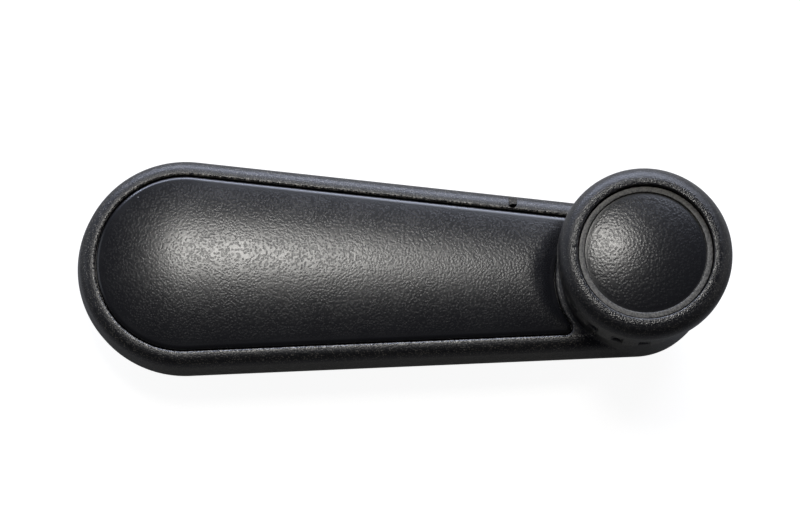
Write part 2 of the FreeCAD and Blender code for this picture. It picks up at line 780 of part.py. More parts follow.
def make_retaining_screw():
    """Pan head machine screw with a cross recess; it draws the insert onto the spindle."""
    body = new_body("retaining_screw")
    sketch = new_sketch(body, "screw_profile", "XZ_Plane")
    shank = cell("screw_radius")
    bevel = cell("screw_tip_bevel")
    tip = lock_washer_z - cell("screw_length")
    head = cell("screw_head_radius")
    top = lock_washer_z + cell("screw_head_height")
    rounding = cell("screw_head_round")
    add_profile(sketch, [(ZERO, tip), (shank - bevel, tip), (shank, tip + bevel), (shank, lock_washer_z),
                         (head, lock_washer_z), (head, top - rounding, rounding, 1),
                         (head - rounding, top), (ZERO, top)])
    revolve(body, sketch, "screw_turning")
    drive = new_sketch(body, "drive_outline", offset=top + overrun)
    arm = cell("drive_reach")
    half = cell("drive_width") / 2
    add_profile(drive, [(half, half), (arm, half), (arm, -half), (half, -half), (half, -arm),
                        (-half, -arm), (-half, -half), (-arm, -half), (-arm, half), (-half, half),
                        (-half, arm), (half, arm)][::-1])
    pocket(body, drive, cell("drive_depth") + overrun, "cross_recess")
    return body


def make_ring(name, foot, thickness, bore, radius, at_knob=False):
    """A flat washer."""
    body = new_body(name)
    sketch = new_sketch(body, name + "_outline", offset=foot)
    add_circle(sketch, radius)
    add_circle(sketch, bore)
    pad(body, sketch, thickness, name + "_pad")
    if at_knob:
        bind(body, "Placement.Base.x", throw)
    return body


def make_lock_washer():
    """Split spring washer under the screw head."""
    ring = make_ring("lock_washer_ring", plain_washer_z, cell("lock_washer_thickness"),
                     screw_hole_radius, cell("lock_washer_radius"))
    split = {"Length": cell("lock_washer_radius") + overrun, "Width": cell("lock_washer_split"),
             "Height": cell("lock_washer_thickness") + overrun * 2}
    tool = make_tool("Part::Box", "lock_washer_split_cut", split,
                     (ZERO, -cell("lock_washer_split") / 2, plain_washer_z - overrun))
    return join("Part::Cut", "lock_washer", Base=ring, Tool=tool)


# Knob

def make_knob_body():
    """Hand grip: round bead over a fluted skirt, with a ribbed hollow and a hub for the bush."""
    body = new_body("knob_body")
    skirt = new_sketch(body, "skirt_profile", "XZ_Plane")
    foot = cell("skirt_foot_radius")
    bevel = cell("skirt_foot_bevel")
    centre = cell("bead_centre_radius")
    add_profile(skirt, [(ZERO, knob_foot_z), (foot - bevel, knob_foot_z), (foot, knob_foot_z + bevel),
                        (cell("skirt_neck_radius"), neck_z), (centre, cell("bead_height")),
                        (centre, cap_seat_z), (ZERO, cap_seat_z)])
    revolve(body, skirt, "skirt")
    add_flutes(body)
    add_bead(body)
    top = cell("bead_height") + cell("bead_radius") + overrun
    seat = new_sketch(body, "cap_seat_circle", offset=top)
    add_circle(seat, cell("cap_seat_radius"))
    pocket(body, seat, top - cap_seat_z, "cap_seat")
    cavity = new_sketch(body, "cavity_circle", offset=cap_seat_z)
    add_circle(cavity, cavity_radius)
    pocket(body, cavity, cap_seat_z - bush_top_z, "cavity")
    trough = new_sketch(body, "trough_outline", offset=bush_top_z)
    add_circle(trough, cavity_radius)
    add_circle(trough, knob_hub_radius)
    pocket(body, trough, bush_top_z - knob_web_z, "trough")
    add_knob_ribs(body)
    bore = new_sketch(body, "bush_bore_circle", offset=bush_top_z + overrun)
    add_circle(bore, bush_radius)
    pocket(body, bore, bush_top_z, "bush_bore")
    flange_seat = new_sketch(body, "bush_flange_circle", offset=bush_flange_z)
    add_circle(flange_seat, bush_flange_radius)
    pocket(body, flange_seat, bush_flange_z, "bush_flange_seat")
    snap = new_sketch(body, "snap_groove_profile", "XZ_Plane")
    add_snap_profile(snap, cavity_radius, cell("snap_bead_reach") + cell("cap_clearance"))
    groove(body, snap, "snap_groove")
    bind(body, "Placement.Base.x", throw)
    return body


def add_bead(body):
    """The bead: a large round above, an upright side and a small round under it."""
    sketch = new_sketch(body, "bead_profile", "XZ_Plane")
    centre = cell("bead_centre_radius")
    large = cell("bead_radius")
    small = cell("bead_foot_round")
    side = cell("bead_height")
    inner = centre - large
    outer = centre + large
    add_profile(sketch, [(inner, neck_z), (outer - small, neck_z, small, 1), (outer, neck_z + small),
                         (outer, side, large, 1), (centre, side + large, large, 1), (inner, side)])
    revolve(body, sketch, "bead")


def add_flutes(body):
    """Finger flutes that follow the taper of the skirt up to the bead."""
    depth = cell("flute_radius") - cell("flute_depth")
    low = new_sketch(body, "flute_foot_circle", offset=knob_foot_z - overrun)
    taper = (cell("skirt_foot_radius") - cell("skirt_neck_radius")) / (neck_z - knob_foot_z)
    add_circle(low, cell("flute_radius"), cell("skirt_foot_radius") + depth + taper * overrun)
    high = new_sketch(body, "flute_top_circle", offset=neck_z)
    add_circle(high, cell("flute_radius"), cell("skirt_neck_radius") + depth)
    before = body.Shape.Volume
    flute = body.newObject("PartDesign::SubtractiveLoft", "flute")
    flute.Profile = low
    flute.Sections = [high]
    check_change(body, before, False, "flute")
    polar(body, flute, cell("flute_count"), False, "flutes")


def add_knob_ribs(body):
    """Radial ribs between the knob's hub and its wall."""
    sketch = new_sketch(body, "knob_rib_outline", offset=knob_web_z)
    half = cell("knob_rib_thickness") / 2
    inset = cell("knob_hub_wall") / 4
    add_rectangle(sketch, knob_hub_radius - inset, -half, cavity_radius + inset, half)
    rib = pad(body, sketch, cell("knob_rib_height"), "knob_rib")
    polar(body, rib, cell("knob_rib_count"), True, "knob_ribs")


def add_snap_profile(sketch, radius, reach):
    """Section of the snap ring: a low wedge outside a radius, near the end of the plug."""
    middle = cap_seat_z - cell("plug_length") + cell("snap_bead_height")
    half = cell("snap_bead_height") / 2
    add_profile(sketch, [(radius - reach, middle - half - reach), (radius + reach, middle),
                         (radius - reach, middle + half + reach)])


def make_knob_cap():
    """Snap-in cap: thin outer ring, step, shallow dome and a plug with a snap ring."""
    body = new_body("knob_cap")
    sketch = new_sketch(body, "cap_profile", "XZ_Plane")
    rim = cell("cap_seat_radius") - cell("cap_clearance")
    dome = rim - cell("cap_ring_width")
    ring_top = cap_seat_z + cell("cap_flange_thickness")
    edge = ring_top - cell("cap_ring_step")
    rise = cell("cap_dome_rise")
    dome_radius = (dome * dome / rise + rise) / 2
    skin = cell("cap_skin")
    inner = plug_radius - cell("plug_wall")
    plug_end = cap_seat_z - cell("plug_length")
    under = edge - skin
    hollow_radius = (inner * inner / rise + rise) / 2
    lip = cell("cap_ring_step") / 2
    add_profile(sketch, [(ZERO, under + rise, hollow_radius, -1), (inner, under), (inner, plug_end),
                         (plug_radius, plug_end), (plug_radius, cap_seat_z), (rim, cap_seat_z),
                         (rim, ring_top - lip, lip, 1), (rim - lip, ring_top),
                         (dome + lip, ring_top), (dome, edge, dome_radius, 1),
                         (ZERO, edge + rise)])
    revolve(body, sketch, "cap_turning")
    snap = new_sketch(body, "snap_ring_profile", "XZ_Plane")
    add_snap_profile(snap, plug_radius, cell("snap_bead_reach"))
    revolve(body, snap, "snap_ring")
    bind(body, "Placement.Base.x", throw)
    return body


def make_knob_bush():
    """Flanged bearing bush pressed into the knob's hub from below."""
    body = new_body("knob_bush")
    sketch = new_sketch(body, "bush_profile", "XZ_Plane")
    add_profile(sketch, [(bush_bore_radius, bush_foot_z), (bush_flange_radius, bush_foot_z),
                         (bush_flange_radius, bush_flange_z), (bush_radius, bush_flange_z),
                         (bush_radius, bush_top_z), (bush_bore_radius, bush_top_z)])
    revolve(body, sketch, "bush_turning")
    bind(body, "Placement.Base.x", throw)
    return body


def make_knob_pin():
    """Shouldered rivet pin: head under the cap, spigot through the arm, end peened over."""
    body = new_body("knob_pin")
    sketch = new_sketch(body, "pin_profile", "XZ_Plane")
    head = cell("pin_head_radius")
    rounding = cell("pin_head_round")
    head_top = head_washer_top_z + cell("pin_head_height")
    rivet = cell("rivet_head_radius")
    rise = cell("rivet_head_height")
    spigot = cell("spigot_radius")
    dome_radius = (rivet * rivet / rise + rise) / 2
    add_profile(sketch, [(ZERO, rivet_end_z, dome_radius, 1), (rivet, rivet_washer_z),
                         (spigot, rivet_washer_z), (spigot, knob_boss_z),
                         (cell("pin_radius"), knob_boss_z), (cell("pin_radius"), head_washer_top_z),
                         (head, head_washer_top_z), (head, head_top - rounding, rounding, 1),
                         (head - rounding, head_top), (ZERO, head_top)])
    revolve(body, sketch, "pin_turning")
    bind(body, "Placement.Base.x", throw)
    return body


def make_bowed_spring():
    """Curved spring washer that takes up the play under the pin's head."""
    height = spring_top_z - spring_foot_z + overrun * 2
    ring = make_ring("bowed_spring_ring", spring_foot_z - overrun, height,
                     cell("pin_radius") + cell("spigot_clearance"), cell("spring_radius"), at_knob=True)
    half = cell("spring_radius")
    bow = cell("spring_bow")
    inner_bend = (half * half / bow + bow) / 2
    outer_bend = inner_bend + cell("spring_thickness")
    lie = FreeCAD.Rotation(FreeCAD.Vector(1, 0, 0), -90)
    centre_z = spring_top_z - outer_bend
    place = (throw, -half - overrun, centre_z)
    length = half * 2 + overrun * 2
    outer = make_tool("Part::Cylinder", "bow_outside", {"Radius": outer_bend, "Height": length}, place, lie)
    inner = make_tool("Part::Cylinder", "bow_inside", {"Radius": inner_bend, "Height": length}, place, lie)
    sheet_metal = join("Part::Cut", "bowed_sheet", Base=outer, Tool=inner)
    return join("Part::Common", "bowed_spring", Base=ring, Tool=sheet_metal)


nodes = [
    make_crank_arm(),
    make_arm_cover(),
    make_spline_insert(),
    make_retaining_screw(),
    make_ring("plain_washer", insert_z, cell("plain_washer_thickness"), screw_hole_radius,
              cell("plain_washer_radius")),
    make_lock_washer(),
    make_knob_pin(),
    make_ring("rivet_washer", rivet_washer_z, cell("rivet_washer_thickness"),
              cell("spigot_radius") + cell("spigot_clearance"), cell("rivet_washer_radius"), at_knob=True),
    make_ring("thrust_washer", knob_boss_z, cell("thrust_washer_thickness"),
              cell("pin_radius") + cell("spigot_clearance"), cell("thrust_washer_radius"), at_knob=True),
    make_bowed_spring(),
    make_ring("head_washer", spring_top_z, cell("head_washer_thickness"),
              cell("pin_radius") + cell("spigot_clearance"), cell("head_washer_radius"), at_knob=True),
    make_knob_body(),
    make_knob_cap(),
    make_knob_bush(),
]
doc.recompute()

for item in doc.Objects:
    if "Invalid" in item.State or "Error" in item.State:
        raise RuntimeError("%s failed: %s" % (item.Label, item.State))
for node in nodes:
    if node.Shape.isNull() or not node.Shape.isValid() or not node.Shape.Solids:
        raise RuntimeError("%s has no valid solid" % node.Label)

os.makedirs("parts", exist_ok=True)
for node in nodes:
    node.Shape.exportStep("parts/%s.step" % node.Label)
    print("%-16s solids %d volume %9.1f" % (node.Label, len(node.Shape.Solids), node.Shape.Volume))
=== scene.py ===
"""Looks of a car window winder handle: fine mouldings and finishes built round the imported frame.

Lengths are in metres and angles in radians. The origin is the centre of the spindle socket's
mouth, +Z runs towards the user and +X runs from the hub to the knob.
"""
import json
import math

import bmesh
import bpy
from bpy.props import FloatProperty, FloatVectorProperty, IntProperty, PointerProperty
from mathutils import Matrix, Vector


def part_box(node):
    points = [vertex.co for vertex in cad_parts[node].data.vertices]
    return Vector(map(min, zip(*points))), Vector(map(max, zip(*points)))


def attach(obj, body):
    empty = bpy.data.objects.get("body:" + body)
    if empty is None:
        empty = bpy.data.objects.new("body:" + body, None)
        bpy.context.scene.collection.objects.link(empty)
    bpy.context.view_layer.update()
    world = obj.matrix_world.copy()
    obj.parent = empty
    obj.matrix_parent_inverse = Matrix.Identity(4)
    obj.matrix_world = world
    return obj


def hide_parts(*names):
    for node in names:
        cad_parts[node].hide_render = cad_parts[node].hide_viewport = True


bl_info = {
    "name": "Window Winder Handle",
    "version": (1, 0, 0),
    "blender": (4, 5, 0),
    "location": "3D View > Sidebar > Winder",
    "description": "Models and finishes a moulded window winder handle round its frame",
    "category": "Add Mesh",
}

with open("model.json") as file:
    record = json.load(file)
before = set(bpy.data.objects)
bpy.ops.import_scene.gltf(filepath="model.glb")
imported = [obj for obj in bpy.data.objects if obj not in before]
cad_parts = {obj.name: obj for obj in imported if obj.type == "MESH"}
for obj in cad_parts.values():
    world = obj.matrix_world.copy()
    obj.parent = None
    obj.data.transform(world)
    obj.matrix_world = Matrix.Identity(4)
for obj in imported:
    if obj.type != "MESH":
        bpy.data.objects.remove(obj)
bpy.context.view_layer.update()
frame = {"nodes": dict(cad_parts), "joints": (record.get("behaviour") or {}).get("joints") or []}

MM = 0.001
DEGREE = math.radians(1)
ALONG = Vector((1, 0, 0))
ACROSS = Vector((0, 1, 0))
UP = Vector((0, 0, 1))
HUB = Vector((0, 0, 0))
KNOB = Vector((frame["joints"][0]["pos_m"][0], 0, 0))

ARM_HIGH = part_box("crank_arm")[1]
COVER_LOW, COVER_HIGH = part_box("arm_cover")
GRIP_LOW, GRIP_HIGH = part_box("knob_body")
CAP_LOW, CAP_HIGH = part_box("knob_cap")
INSERT_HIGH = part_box("spline_insert")[1]

# The steps in which arcs are turned, from the large outlines to the smallest edges
PLAN_STEP = 1.6 * DEGREE
LATHE_STEP = 2.0 * DEGREE
CAP_STEP = 1.5 * DEGREE
BEAD_STEP = 4 * DEGREE
BEAD_FOOT_STEP = 6 * DEGREE
ROUND_STEP = 9.0 * DEGREE
EDGE_STEP = 15 * DEGREE
SEAT_LIP_STEP = 20 * DEGREE

# Vertices this near are one, and a cutting solid runs this far past what it cuts
WELD = 0.002 * MM
OVERRUN = 1.0 * MM


def length(name, description, millimetres):
    return FloatProperty(name=name, description=description, default=millimetres * MM,
                         unit="LENGTH", precision=5)


def angle(name, description, degrees):
    return FloatProperty(name=name, description=description, default=degrees * DEGREE, subtype="ANGLE")


def colour(name, description, value):
    return FloatVectorProperty(name=name, description=description, default=value, subtype="COLOR",
                               size=3, min=0.0, max=1.0)


def share(name, description, value):
    return FloatProperty(name=name, description=description, default=value, min=0.0, max=1.0,
                         subtype="FACTOR")


class WinderArmSizes(bpy.types.PropertyGroup):
    hub_radius: length("Hub radius", "Widest radius round the hub", ARM_HIGH.y / MM)
    knob_radius: length("Knob end radius", "Widest radius round the knob", (ARM_HIGH.x - KNOB.x) / MM)
    rim_z: length("Rim height", "Height of the rim", 20.0)
    widest_z: length("Widest height", "Height at which the wall stands out furthest", 13.3)
    back_z: length("Back height", "Height of the open back", 10.0)
    wall_draft: angle("Wall draft", "Lean of the wall above its widest height", 9.0)
    foot_draft: angle("Foot draft", "Lean of the wall below its widest height", 4.0)
    rim_round: length("Rim round", "Radius of the rim's outer edge", 2.9)
    back_round: length("Back round", "Radius of the edge of the open back", 0.35)
    rim_width: length("Rim width", "From the widest outline in to the recess", 4.2)
    lip_round: length("Lip round", "Radius of the rim's inner edge", 0.5)
    recess_z: length("Recess floor", "Height of the floor under the cover", 17.2)
    recess_corner: length("Recess corner", "Plan radius of the recess's corners", 1.6)
    recess_end_radius: length("Recess end", "Radius of the recess's hollow end", 17.7)
    floor_back_z: length("Floor back", "Height of the floor seen from behind", 15.2)
    side_wall: length("Side wall", "Thickness of the wall round the open back", 2.6)
    rib_thickness: length("Rib thickness", "Thickness of the ribs", 1.6)
    rib_setback: length("Rib setback", "How far the ribs stand back", 0.8)
    first_rib: length("First rib", "Place of the first cross rib", 22.0)
    rib_pitch: length("Rib pitch", "Distance between cross ribs", 13.0)
    rib_count: IntProperty(name="Rib count", description="Number of cross ribs", default=6, min=0)
    boss_draft: angle("Boss draft", "Lean of the boss under the knob", 1.5)
    boss_round: length("Boss round", "Radius of the boss's top edge", 0.9)
    boss_blend: length("Boss blend", "Radius where the boss runs into the rim", 1.1)
    boss_wall: length("Boss wall", "Wall of the boss seen from behind", 2.6)
    boss_plate: length("Boss plate", "Thickness of the boss's top", 3.1)
    post_radius: length("Pin post radius", "Radius of the post that carries the pin", 8.0)
    post_back_z: length("Pin post back", "Height of the post's rear face", 14.0)
    rivet_room: length("Rivet room", "Radius of the free space round the rivet", 6.6)
    pin_hole: length("Pin hole radius", "Radius of the hole for the pin's spigot", 2.55)
    hub_boss_radius: length("Hub boss radius", "Radius of the boss that faces the door", 13.0)
    hub_boss_round: length("Hub boss round", "Radius of the hub boss's foot", 0.8)
    well_radius: length("Screw well radius", "Radius of the well round the screw", 6.6)
    notch_x: length("Notch place", "Place of the notch for prying the cover off", 72.4)
    notch_width: length("Notch width", "Width of the notch", 1.9)
    notch_floor_z: length("Notch floor", "Height of the notch's floor", 17.8)
    notch_lip: length("Notch lip", "Thin wall between the notch and the recess", 0.45)


class WinderCoverSizes(bpy.types.PropertyGroup):
    hub_radius: length("Hub radius", "Radius round the hub", COVER_HIGH.y / MM)
    knob_radius: length("Knob radius", "Radius of the circle its sides aim at", 11.95)
    end_radius: length("End radius", "Radius of its hollow end round the knob", 18.0)
    corner: length("Corner", "Plan radius of its two corners", 1.3)
    edge_z: length("Edge height", "Height at which the upright edge ends", 19.4)
    edge_roll: length("Edge roll", "Radius of the rolled edge", 0.3)
    roll_lean: angle("Edge roll lean", "Lean of the skin's normal where the roll ends", 42.0)
    shoulder: length("Shoulder", "Radius of the shoulder inside the rolled edge", 1.8)
    shoulder_lean: angle("Shoulder lean", "Lean of the normal where the crown begins", 12.0)
    crown_power: FloatProperty(name="Crown power", default=2.0, min=2.0, max=6.0,
                               description="2 is a plain arch, more is flatter on top")
    crown_step: length("Crown step", "Spacing of the crown's grid", 1.5)
    wall: length("Wall", "Thickness of the side wall", 1.7)
    hollow_z: length("Hollow height", "Height of the hollow under the skin", 19.4)
    leg_width: length("Leg width", "Width of a snap leg", 4.0)
    leg_thickness: length("Leg thickness", "Thickness of a snap leg", 1.4)
    leg_inset: length("Leg inset", "From the cover's side to a leg's outer face", 3.0)
    leg_reach: length("Hook reach", "How far a hook stands out", 0.8)
    hook_height: length("Hook height", "Height of a hook", 1.5)
    window_clearance: length("Window clearance", "Play of a leg in its window", 0.25)


class WinderGripSizes(bpy.types.PropertyGroup):
    foot_z: length("Foot height", "Height of the skirt's foot", GRIP_LOW.z / MM)
    foot_radius: length("Foot radius", "Radius of the skirt's foot", 16.7)
    foot_bevel: length("Foot bevel", "Bevel of the skirt's foot", 0.35)
    neck_radius: length("Neck radius", "Radius of the skirt under the bead", 15.7)
    bead_radius: length("Bead radius", "Radius of the bead's upper round", 3.3)
    bead_side: length("Bead side", "Height of the bead's upright side", 2.6)
    bead_foot_round: length("Bead foot round", "Radius of the bead's lower edge", 1.6)
    flute_count: IntProperty(name="Flutes", description="Number of flutes", default=17, min=3)
    flute_radius: length("Flute radius", "Radius of a flute's section", 1.45)
    flute_depth: length("Flute depth", "Depth of a flute", 1.1)
    flute_phase: angle("Flute phase", "Direction of the first flute", 0.0)
    land_round: length("Land round", "Radius of the edges of the lands", 0.18)
    seat_radius: length("Seat radius", "Radius of the cap's seat", 14.65)
    seat_z: length("Seat height", "Height of the cap's seat", CAP_LOW.z / MM)
    seat_lip: length("Seat lip", "Radius of the bead's inner edge", 0.3)
    cavity_radius: length("Cavity radius", "Radius of the hollow inside", 13.1)
    web_z: length("Web height", "Top of the web at the foot", 28.7)
    hub_radius: length("Hub radius", "Radius of the hub round the bush", 6.85)
    hub_top_z: length("Hub top", "Top of the hub", 40.15)
    bore_radius: length("Bore radius", "Radius of the bush's bore", 4.75)
    flange_radius: length("Flange seat radius", "Radius of the seat of the bush's flange", 6.55)
    flange_z: length("Flange seat height", "Height of the seat of the bush's flange", 27.15)


class WinderCapSizes(bpy.types.PropertyGroup):
    radius: length("Radius", "Radius of the cap", (CAP_HIGH.x - KNOB.x) / MM)
    ring_z: length("Ring height", "Top of the thin outer ring", 47.85)
    ring_width: length("Ring width", "Width of the ring", 1.45)
    ring_step: length("Ring step", "Step down from the ring to the dome", 0.45)
    dome_z: length("Dome height", "Height of the dome's middle", CAP_HIGH.z / MM)
    skin: length("Skin", "Thickness of the dome", 1.5)
    plug_radius: length("Plug radius", "Radius of the plug inside the knob", 13.0)
    plug_wall: length("Plug wall", "Wall of the plug", 1.3)


class WinderFinish(bpy.types.PropertyGroup):
    plastic: colour("Plastic", "Body colour of the black mouldings", (0.0060, 0.0060, 0.0070))
    # Colour of the skirt's lands and the cap's ring: partly scuffing, partly a painted reflection and
    # sheen
    worn_and_sheen: colour("Worn plastic", "Colour of worn lands and ring", (0.105, 0.100, 0.088))
    # Colour of the recess's lip: partly scuffing, partly a painted highlight along the rim's top
    wear_and_painted_light: colour("Rubbed plastic", "Colour of the rubbed lip of the recess", (0.20, 0.187, 0.16))
    dust: colour("Dust", "Colour of stray specks of dust", (0.30, 0.30, 0.29))
    steel: colour("Steel", "Colour of zinc-plated steel", (0.52, 0.53, 0.54))
    spring: colour("Spring steel", "Colour of the dark spring steel", (0.12, 0.115, 0.11))
    nylon: colour("Nylon", "Colour of the bush", (0.62, 0.60, 0.54))
    roughness: share("Roughness", "Roughness of the spark-eroded mouldings", 0.38)
    polish: share("Polish", "How much smoother the lip and the bead's crest are rubbed", 0.13)
    gloss: share("Grain roughness", "Roughness of the grained mouldings", 0.28)
    cover_cell: length("Cover grain", "Size of the grain on the cover", 0.50)
    cover_depth: length("Cover grain depth", "Depth of the grain on the cover", 0.015)
    cap_cell: length("Cap grain", "Size of the grain on the cap", 0.60)
    cap_depth: length("Cap grain depth", "Depth of the grain on the cap", 0.018)
    speckle: length("Speckle", "Size of the speckle on the rim and bead", 0.42)
    speckle_depth: length("Speckle depth", "Depth of the speckle", 0.065)


class WinderStudio(bpy.types.PropertyGroup):
    distance: length("Distance", "From the camera to the arm's middle", 800.8)
    tilt: angle("Tilt", "How far the camera stands below the arm's axis", -11.405)
    yaw: angle("Yaw", "Turn of the camera across the arm", 0.677)
    roll: angle("Roll", "Turn of the picture", -1.879)
    aim_x: length("Aim along", "Shift of the aim along the picture", 2.237)
    aim_y: length("Aim up", "Shift of the aim up the picture", -1.194)
    lens: FloatProperty(name="Lens", description="Focal length in millimetres", default=162.57)
    paper: colour("Paper", "Colour of the floor and backdrop", (0.20, 0.20, 0.20))


def sizes(name):
    return getattr(bpy.context.scene, "winder_" + name)


# Drawing in edit mode

def deselect():
    bpy.ops.object.select_all(action="DESELECT")


def select_all():
    bpy.ops.mesh.select_all(action="SELECT")


def start_outline(name, place):
    """A new piece that is one selected vertex, in edit mode."""
    deselect()
    bpy.ops.mesh.primitive_plane_add(size=MM, enter_editmode=True, location=(0, 0, 0))
    bpy.ops.mesh.select_mode(type="VERT")
    select_all()
    bpy.ops.mesh.merge(type="CENTER")
    bpy.ops.transform.translate(value=place)
    piece = bpy.context.object
    piece.name = name
    piece.data.name = name
    return piece


def run(step):
    """Extrude what is selected along a step."""
    bpy.ops.mesh.extrude_region_move(TRANSFORM_OT_translate={"value": step})


def turn(amount, centre, step=PLAN_STEP):
    """Spin what is selected anticlockwise round an upright axis. Here the operator turns clockwise."""
    steps = max(2, math.ceil(abs(amount) / step - WELD))
    bpy.ops.mesh.spin(steps=steps, angle=-amount, center=centre, axis=UP)


class Pen:
    """Draws an upright section, whose places are a distance out from an axis and a height."""

    def __init__(self, name, axis, out, z):
        self.axis = axis
        self.place = self.at(out, z)
        self.piece = start_outline(name, self.place)

    def at(self, out, z):
        return Vector((self.axis.x + out, 0, z))

    def lines(self, *corners):
        for out, z in corners:
            target = self.at(out, z)
            run(target - self.place)
            self.place = target

    def arc(self, out, z, amount, step=ROUND_STEP):
        """Turn about a centre, from +X towards +Z where amount is above zero."""
        centre = self.at(out, z)
        steps = max(2, math.ceil(abs(amount) / step))
        bpy.ops.mesh.spin(steps=steps, angle=amount, center=centre, axis=ACROSS)
        arm = self.place - centre
        self.place = centre + Vector((arm.x * math.cos(amount) - arm.z * math.sin(amount), 0,
                                      arm.x * math.sin(amount) + arm.z * math.cos(amount)))


def select_where(piece, test):
    """Select the vertices whose place passes a test, and stay in edit mode."""
    bpy.ops.mesh.select_all(action="DESELECT")
    bpy.ops.object.mode_set(mode="OBJECT")
    for vertex in piece.data.vertices:
        vertex.select = test(vertex.co)
    bpy.ops.object.mode_set(mode="EDIT")


def select_level(piece, height):
    select_where(piece, lambda place: abs(place.z - height) < WELD)


def close_solid():
    """Weld the seams, point the faces outwards and leave edit mode."""
    select_all()
    bpy.ops.mesh.remove_doubles(threshold=WELD)
    bpy.ops.mesh.normals_make_consistent(inside=False)
    bpy.ops.object.mode_set(mode="OBJECT")


def close_prism(piece, *levels):
    """Close a swept piece with one flat face at each level."""
    select_all()
    bpy.ops.mesh.remove_doubles(threshold=WELD)
    for level in levels:
        select_level(piece, level)
        bpy.ops.mesh.edge_face_add()
    close_solid()


def lathe(centre, step=LATHE_STEP):
    select_all()
    turn(2 * math.pi, centre, step)
    close_solid()


def check_closed(piece):
    """Stop if a piece is empty or has an open or doubled edge."""
    mesh = bmesh.new()
    mesh.from_mesh(piece.data)
    open_edges = sum(1 for edge in mesh.edges if len(edge.link_faces) != 2)
    volume = mesh.calc_volume(signed=True)
    mesh.free()
    if open_edges or volume <= 0:
        raise RuntimeError("%s has %d open edges and a volume of %g" % (piece.name, open_edges, volume))


def combine(piece, tool, operation):
    """Join or cut with another solid, which is used up."""
    change = piece.modifiers.new(operation.title(), "BOOLEAN")
    change.operation = operation
    change.object = tool
    change.solver = "MANIFOLD"
    deselect()
    bpy.context.view_layer.objects.active = piece
    bpy.ops.object.modifier_apply(modifier=change.name)
    bpy.data.objects.remove(tool)
    if not piece.data.polygons:
        raise RuntimeError("%s was lost by a %s" % (piece.name, operation))


def cut(piece, tool):
    combine(piece, tool, "DIFFERENCE")


def fuse(piece, tool):
    combine(piece, tool, "UNION")


def add_cylinder(centre, radius, low, high, sides=96):
    deselect()
    place = (centre.x, centre.y, (low + high) / 2)
    bpy.ops.mesh.primitive_cylinder_add(vertices=sides, radius=radius, depth=high - low, location=place)
    return bpy.context.object


def add_box(low, high, turned=0.0):
    """A box from corner to corner, then turned about the hub's axis."""
    deselect()
    low, high = Vector(low), Vector(high)
    bpy.ops.mesh.primitive_cube_add(size=1, location=(0, 0, 0))
    box = bpy.context.object
    spread = Matrix.Diagonal((high - low).to_4d())
    spread[3][3] = 1
    box.matrix_world = Matrix.Rotation(turned, 4, "Z") @ Matrix.Translation((low + high) / 2) @ spread
    return box


def finish_piece(piece, material, body, nodes, crease=32 * DEGREE):
    """Smooth shading with sharp creases, then the material and the ties to the frame."""
    check_closed(piece)
    deselect()
    piece.select_set(True)
    bpy.context.view_layer.objects.active = piece
    bpy.ops.object.shade_smooth_by_angle(angle=crease)
    weighting = piece.modifiers.new("Weighted normals", "WEIGHTED_NORMAL")
    weighting.keep_sharp = True
    bpy.ops.object.modifier_apply(modifier=weighting.name)
    piece.data.materials.clear()
    piece.data.materials.append(material)
    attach(piece, body)
    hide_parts(*nodes)


# The teardrop plan

def slope_of(hub_radius, knob_radius):
    """Direction of the upper side's normal."""
    return math.acos((hub_radius - knob_radius) / KNOB.x)


def heading(aim):
    return Vector((math.cos(aim), math.sin(aim), 0))


def sweep_teardrop(slope):
    """Carry the whole outline, drawn on the -X side of the hub, round the teardrop."""
    along = KNOB.x * math.sin(slope)
    ahead = Vector((math.sin(slope), math.cos(slope), 0)) * along
    select_all()
    turn(math.pi - slope, HUB)
    run(ahead)
    turn(2 * slope, KNOB)
    run(ahead * Vector((-1, 1, 1)))
    turn(math.pi - slope, HUB)


def sweep_bitten(slope, knob_radius, end_radius, corner):
    """The same, but stopping at a circle round the knob, with rounded corners."""
    beside = knob_radius - corner
    reach = end_radius + corner
    back = math.sqrt(reach ** 2 - beside ** 2)
    along = KNOB.x * math.sin(slope) - back
    ahead = Vector((math.sin(slope), math.cos(slope), 0)) * along
    corner_turn = math.pi / 2 + math.asin(beside / reach)
    toward = corner_turn - slope
    lower = KNOB - heading(toward) * reach
    select_all()
    turn(math.pi - slope, HUB)
    run(ahead)
    turn(corner_turn, lower, ROUND_STEP)
    turn(-2 * toward, KNOB)
    turn(corner_turn, lower * Vector((1, -1, 1)), ROUND_STEP)
    run(ahead * Vector((-1, 1, 1)))
    turn(math.pi - slope, HUB)


# Crank arm

# How many sections the blend round the boss has, how many steps each one's arc has, and how
# many rounds the ball that makes it takes to settle
BLEND_SECTIONS = 220
BLEND_STEPS = 8
SETTLE_ROUNDS = 12

# Where the two pairs of snap legs stand, as shares of the way to the knob
LEG_STATIONS = (0.0, 0.545)


def make_arm_wall(arm):
    """The arm without its bosses: foot, drafted wall and rounded rim, closed flat above and below."""
    centre_z = arm.rim_z - arm.rim_round
    centre_inset = ((centre_z - arm.widest_z) * math.tan(arm.wall_draft)
                    + arm.rim_round / math.cos(arm.wall_draft))
    foot_lean = math.tan(arm.foot_draft)
    foot = (arm.widest_z - arm.back_z) * foot_lean - arm.hub_radius
    edge = arm.back_round
    pen = Pen("arm_moulding", HUB, centre_inset - arm.hub_radius, arm.rim_z)
    pen.arc(centre_inset - arm.hub_radius, centre_z, math.pi / 2 - arm.wall_draft)
    pen.lines((-arm.hub_radius, arm.widest_z), (foot - foot_lean * edge, arm.back_z + edge),
              (foot + edge / 3, arm.back_z + edge / 3), (foot + edge, arm.back_z))
    sweep_teardrop(slope_of(arm.hub_radius, arm.knob_radius))
    close_prism(pen.piece, arm.rim_z, arm.back_z)
    return pen.piece, centre_inset, centre_z


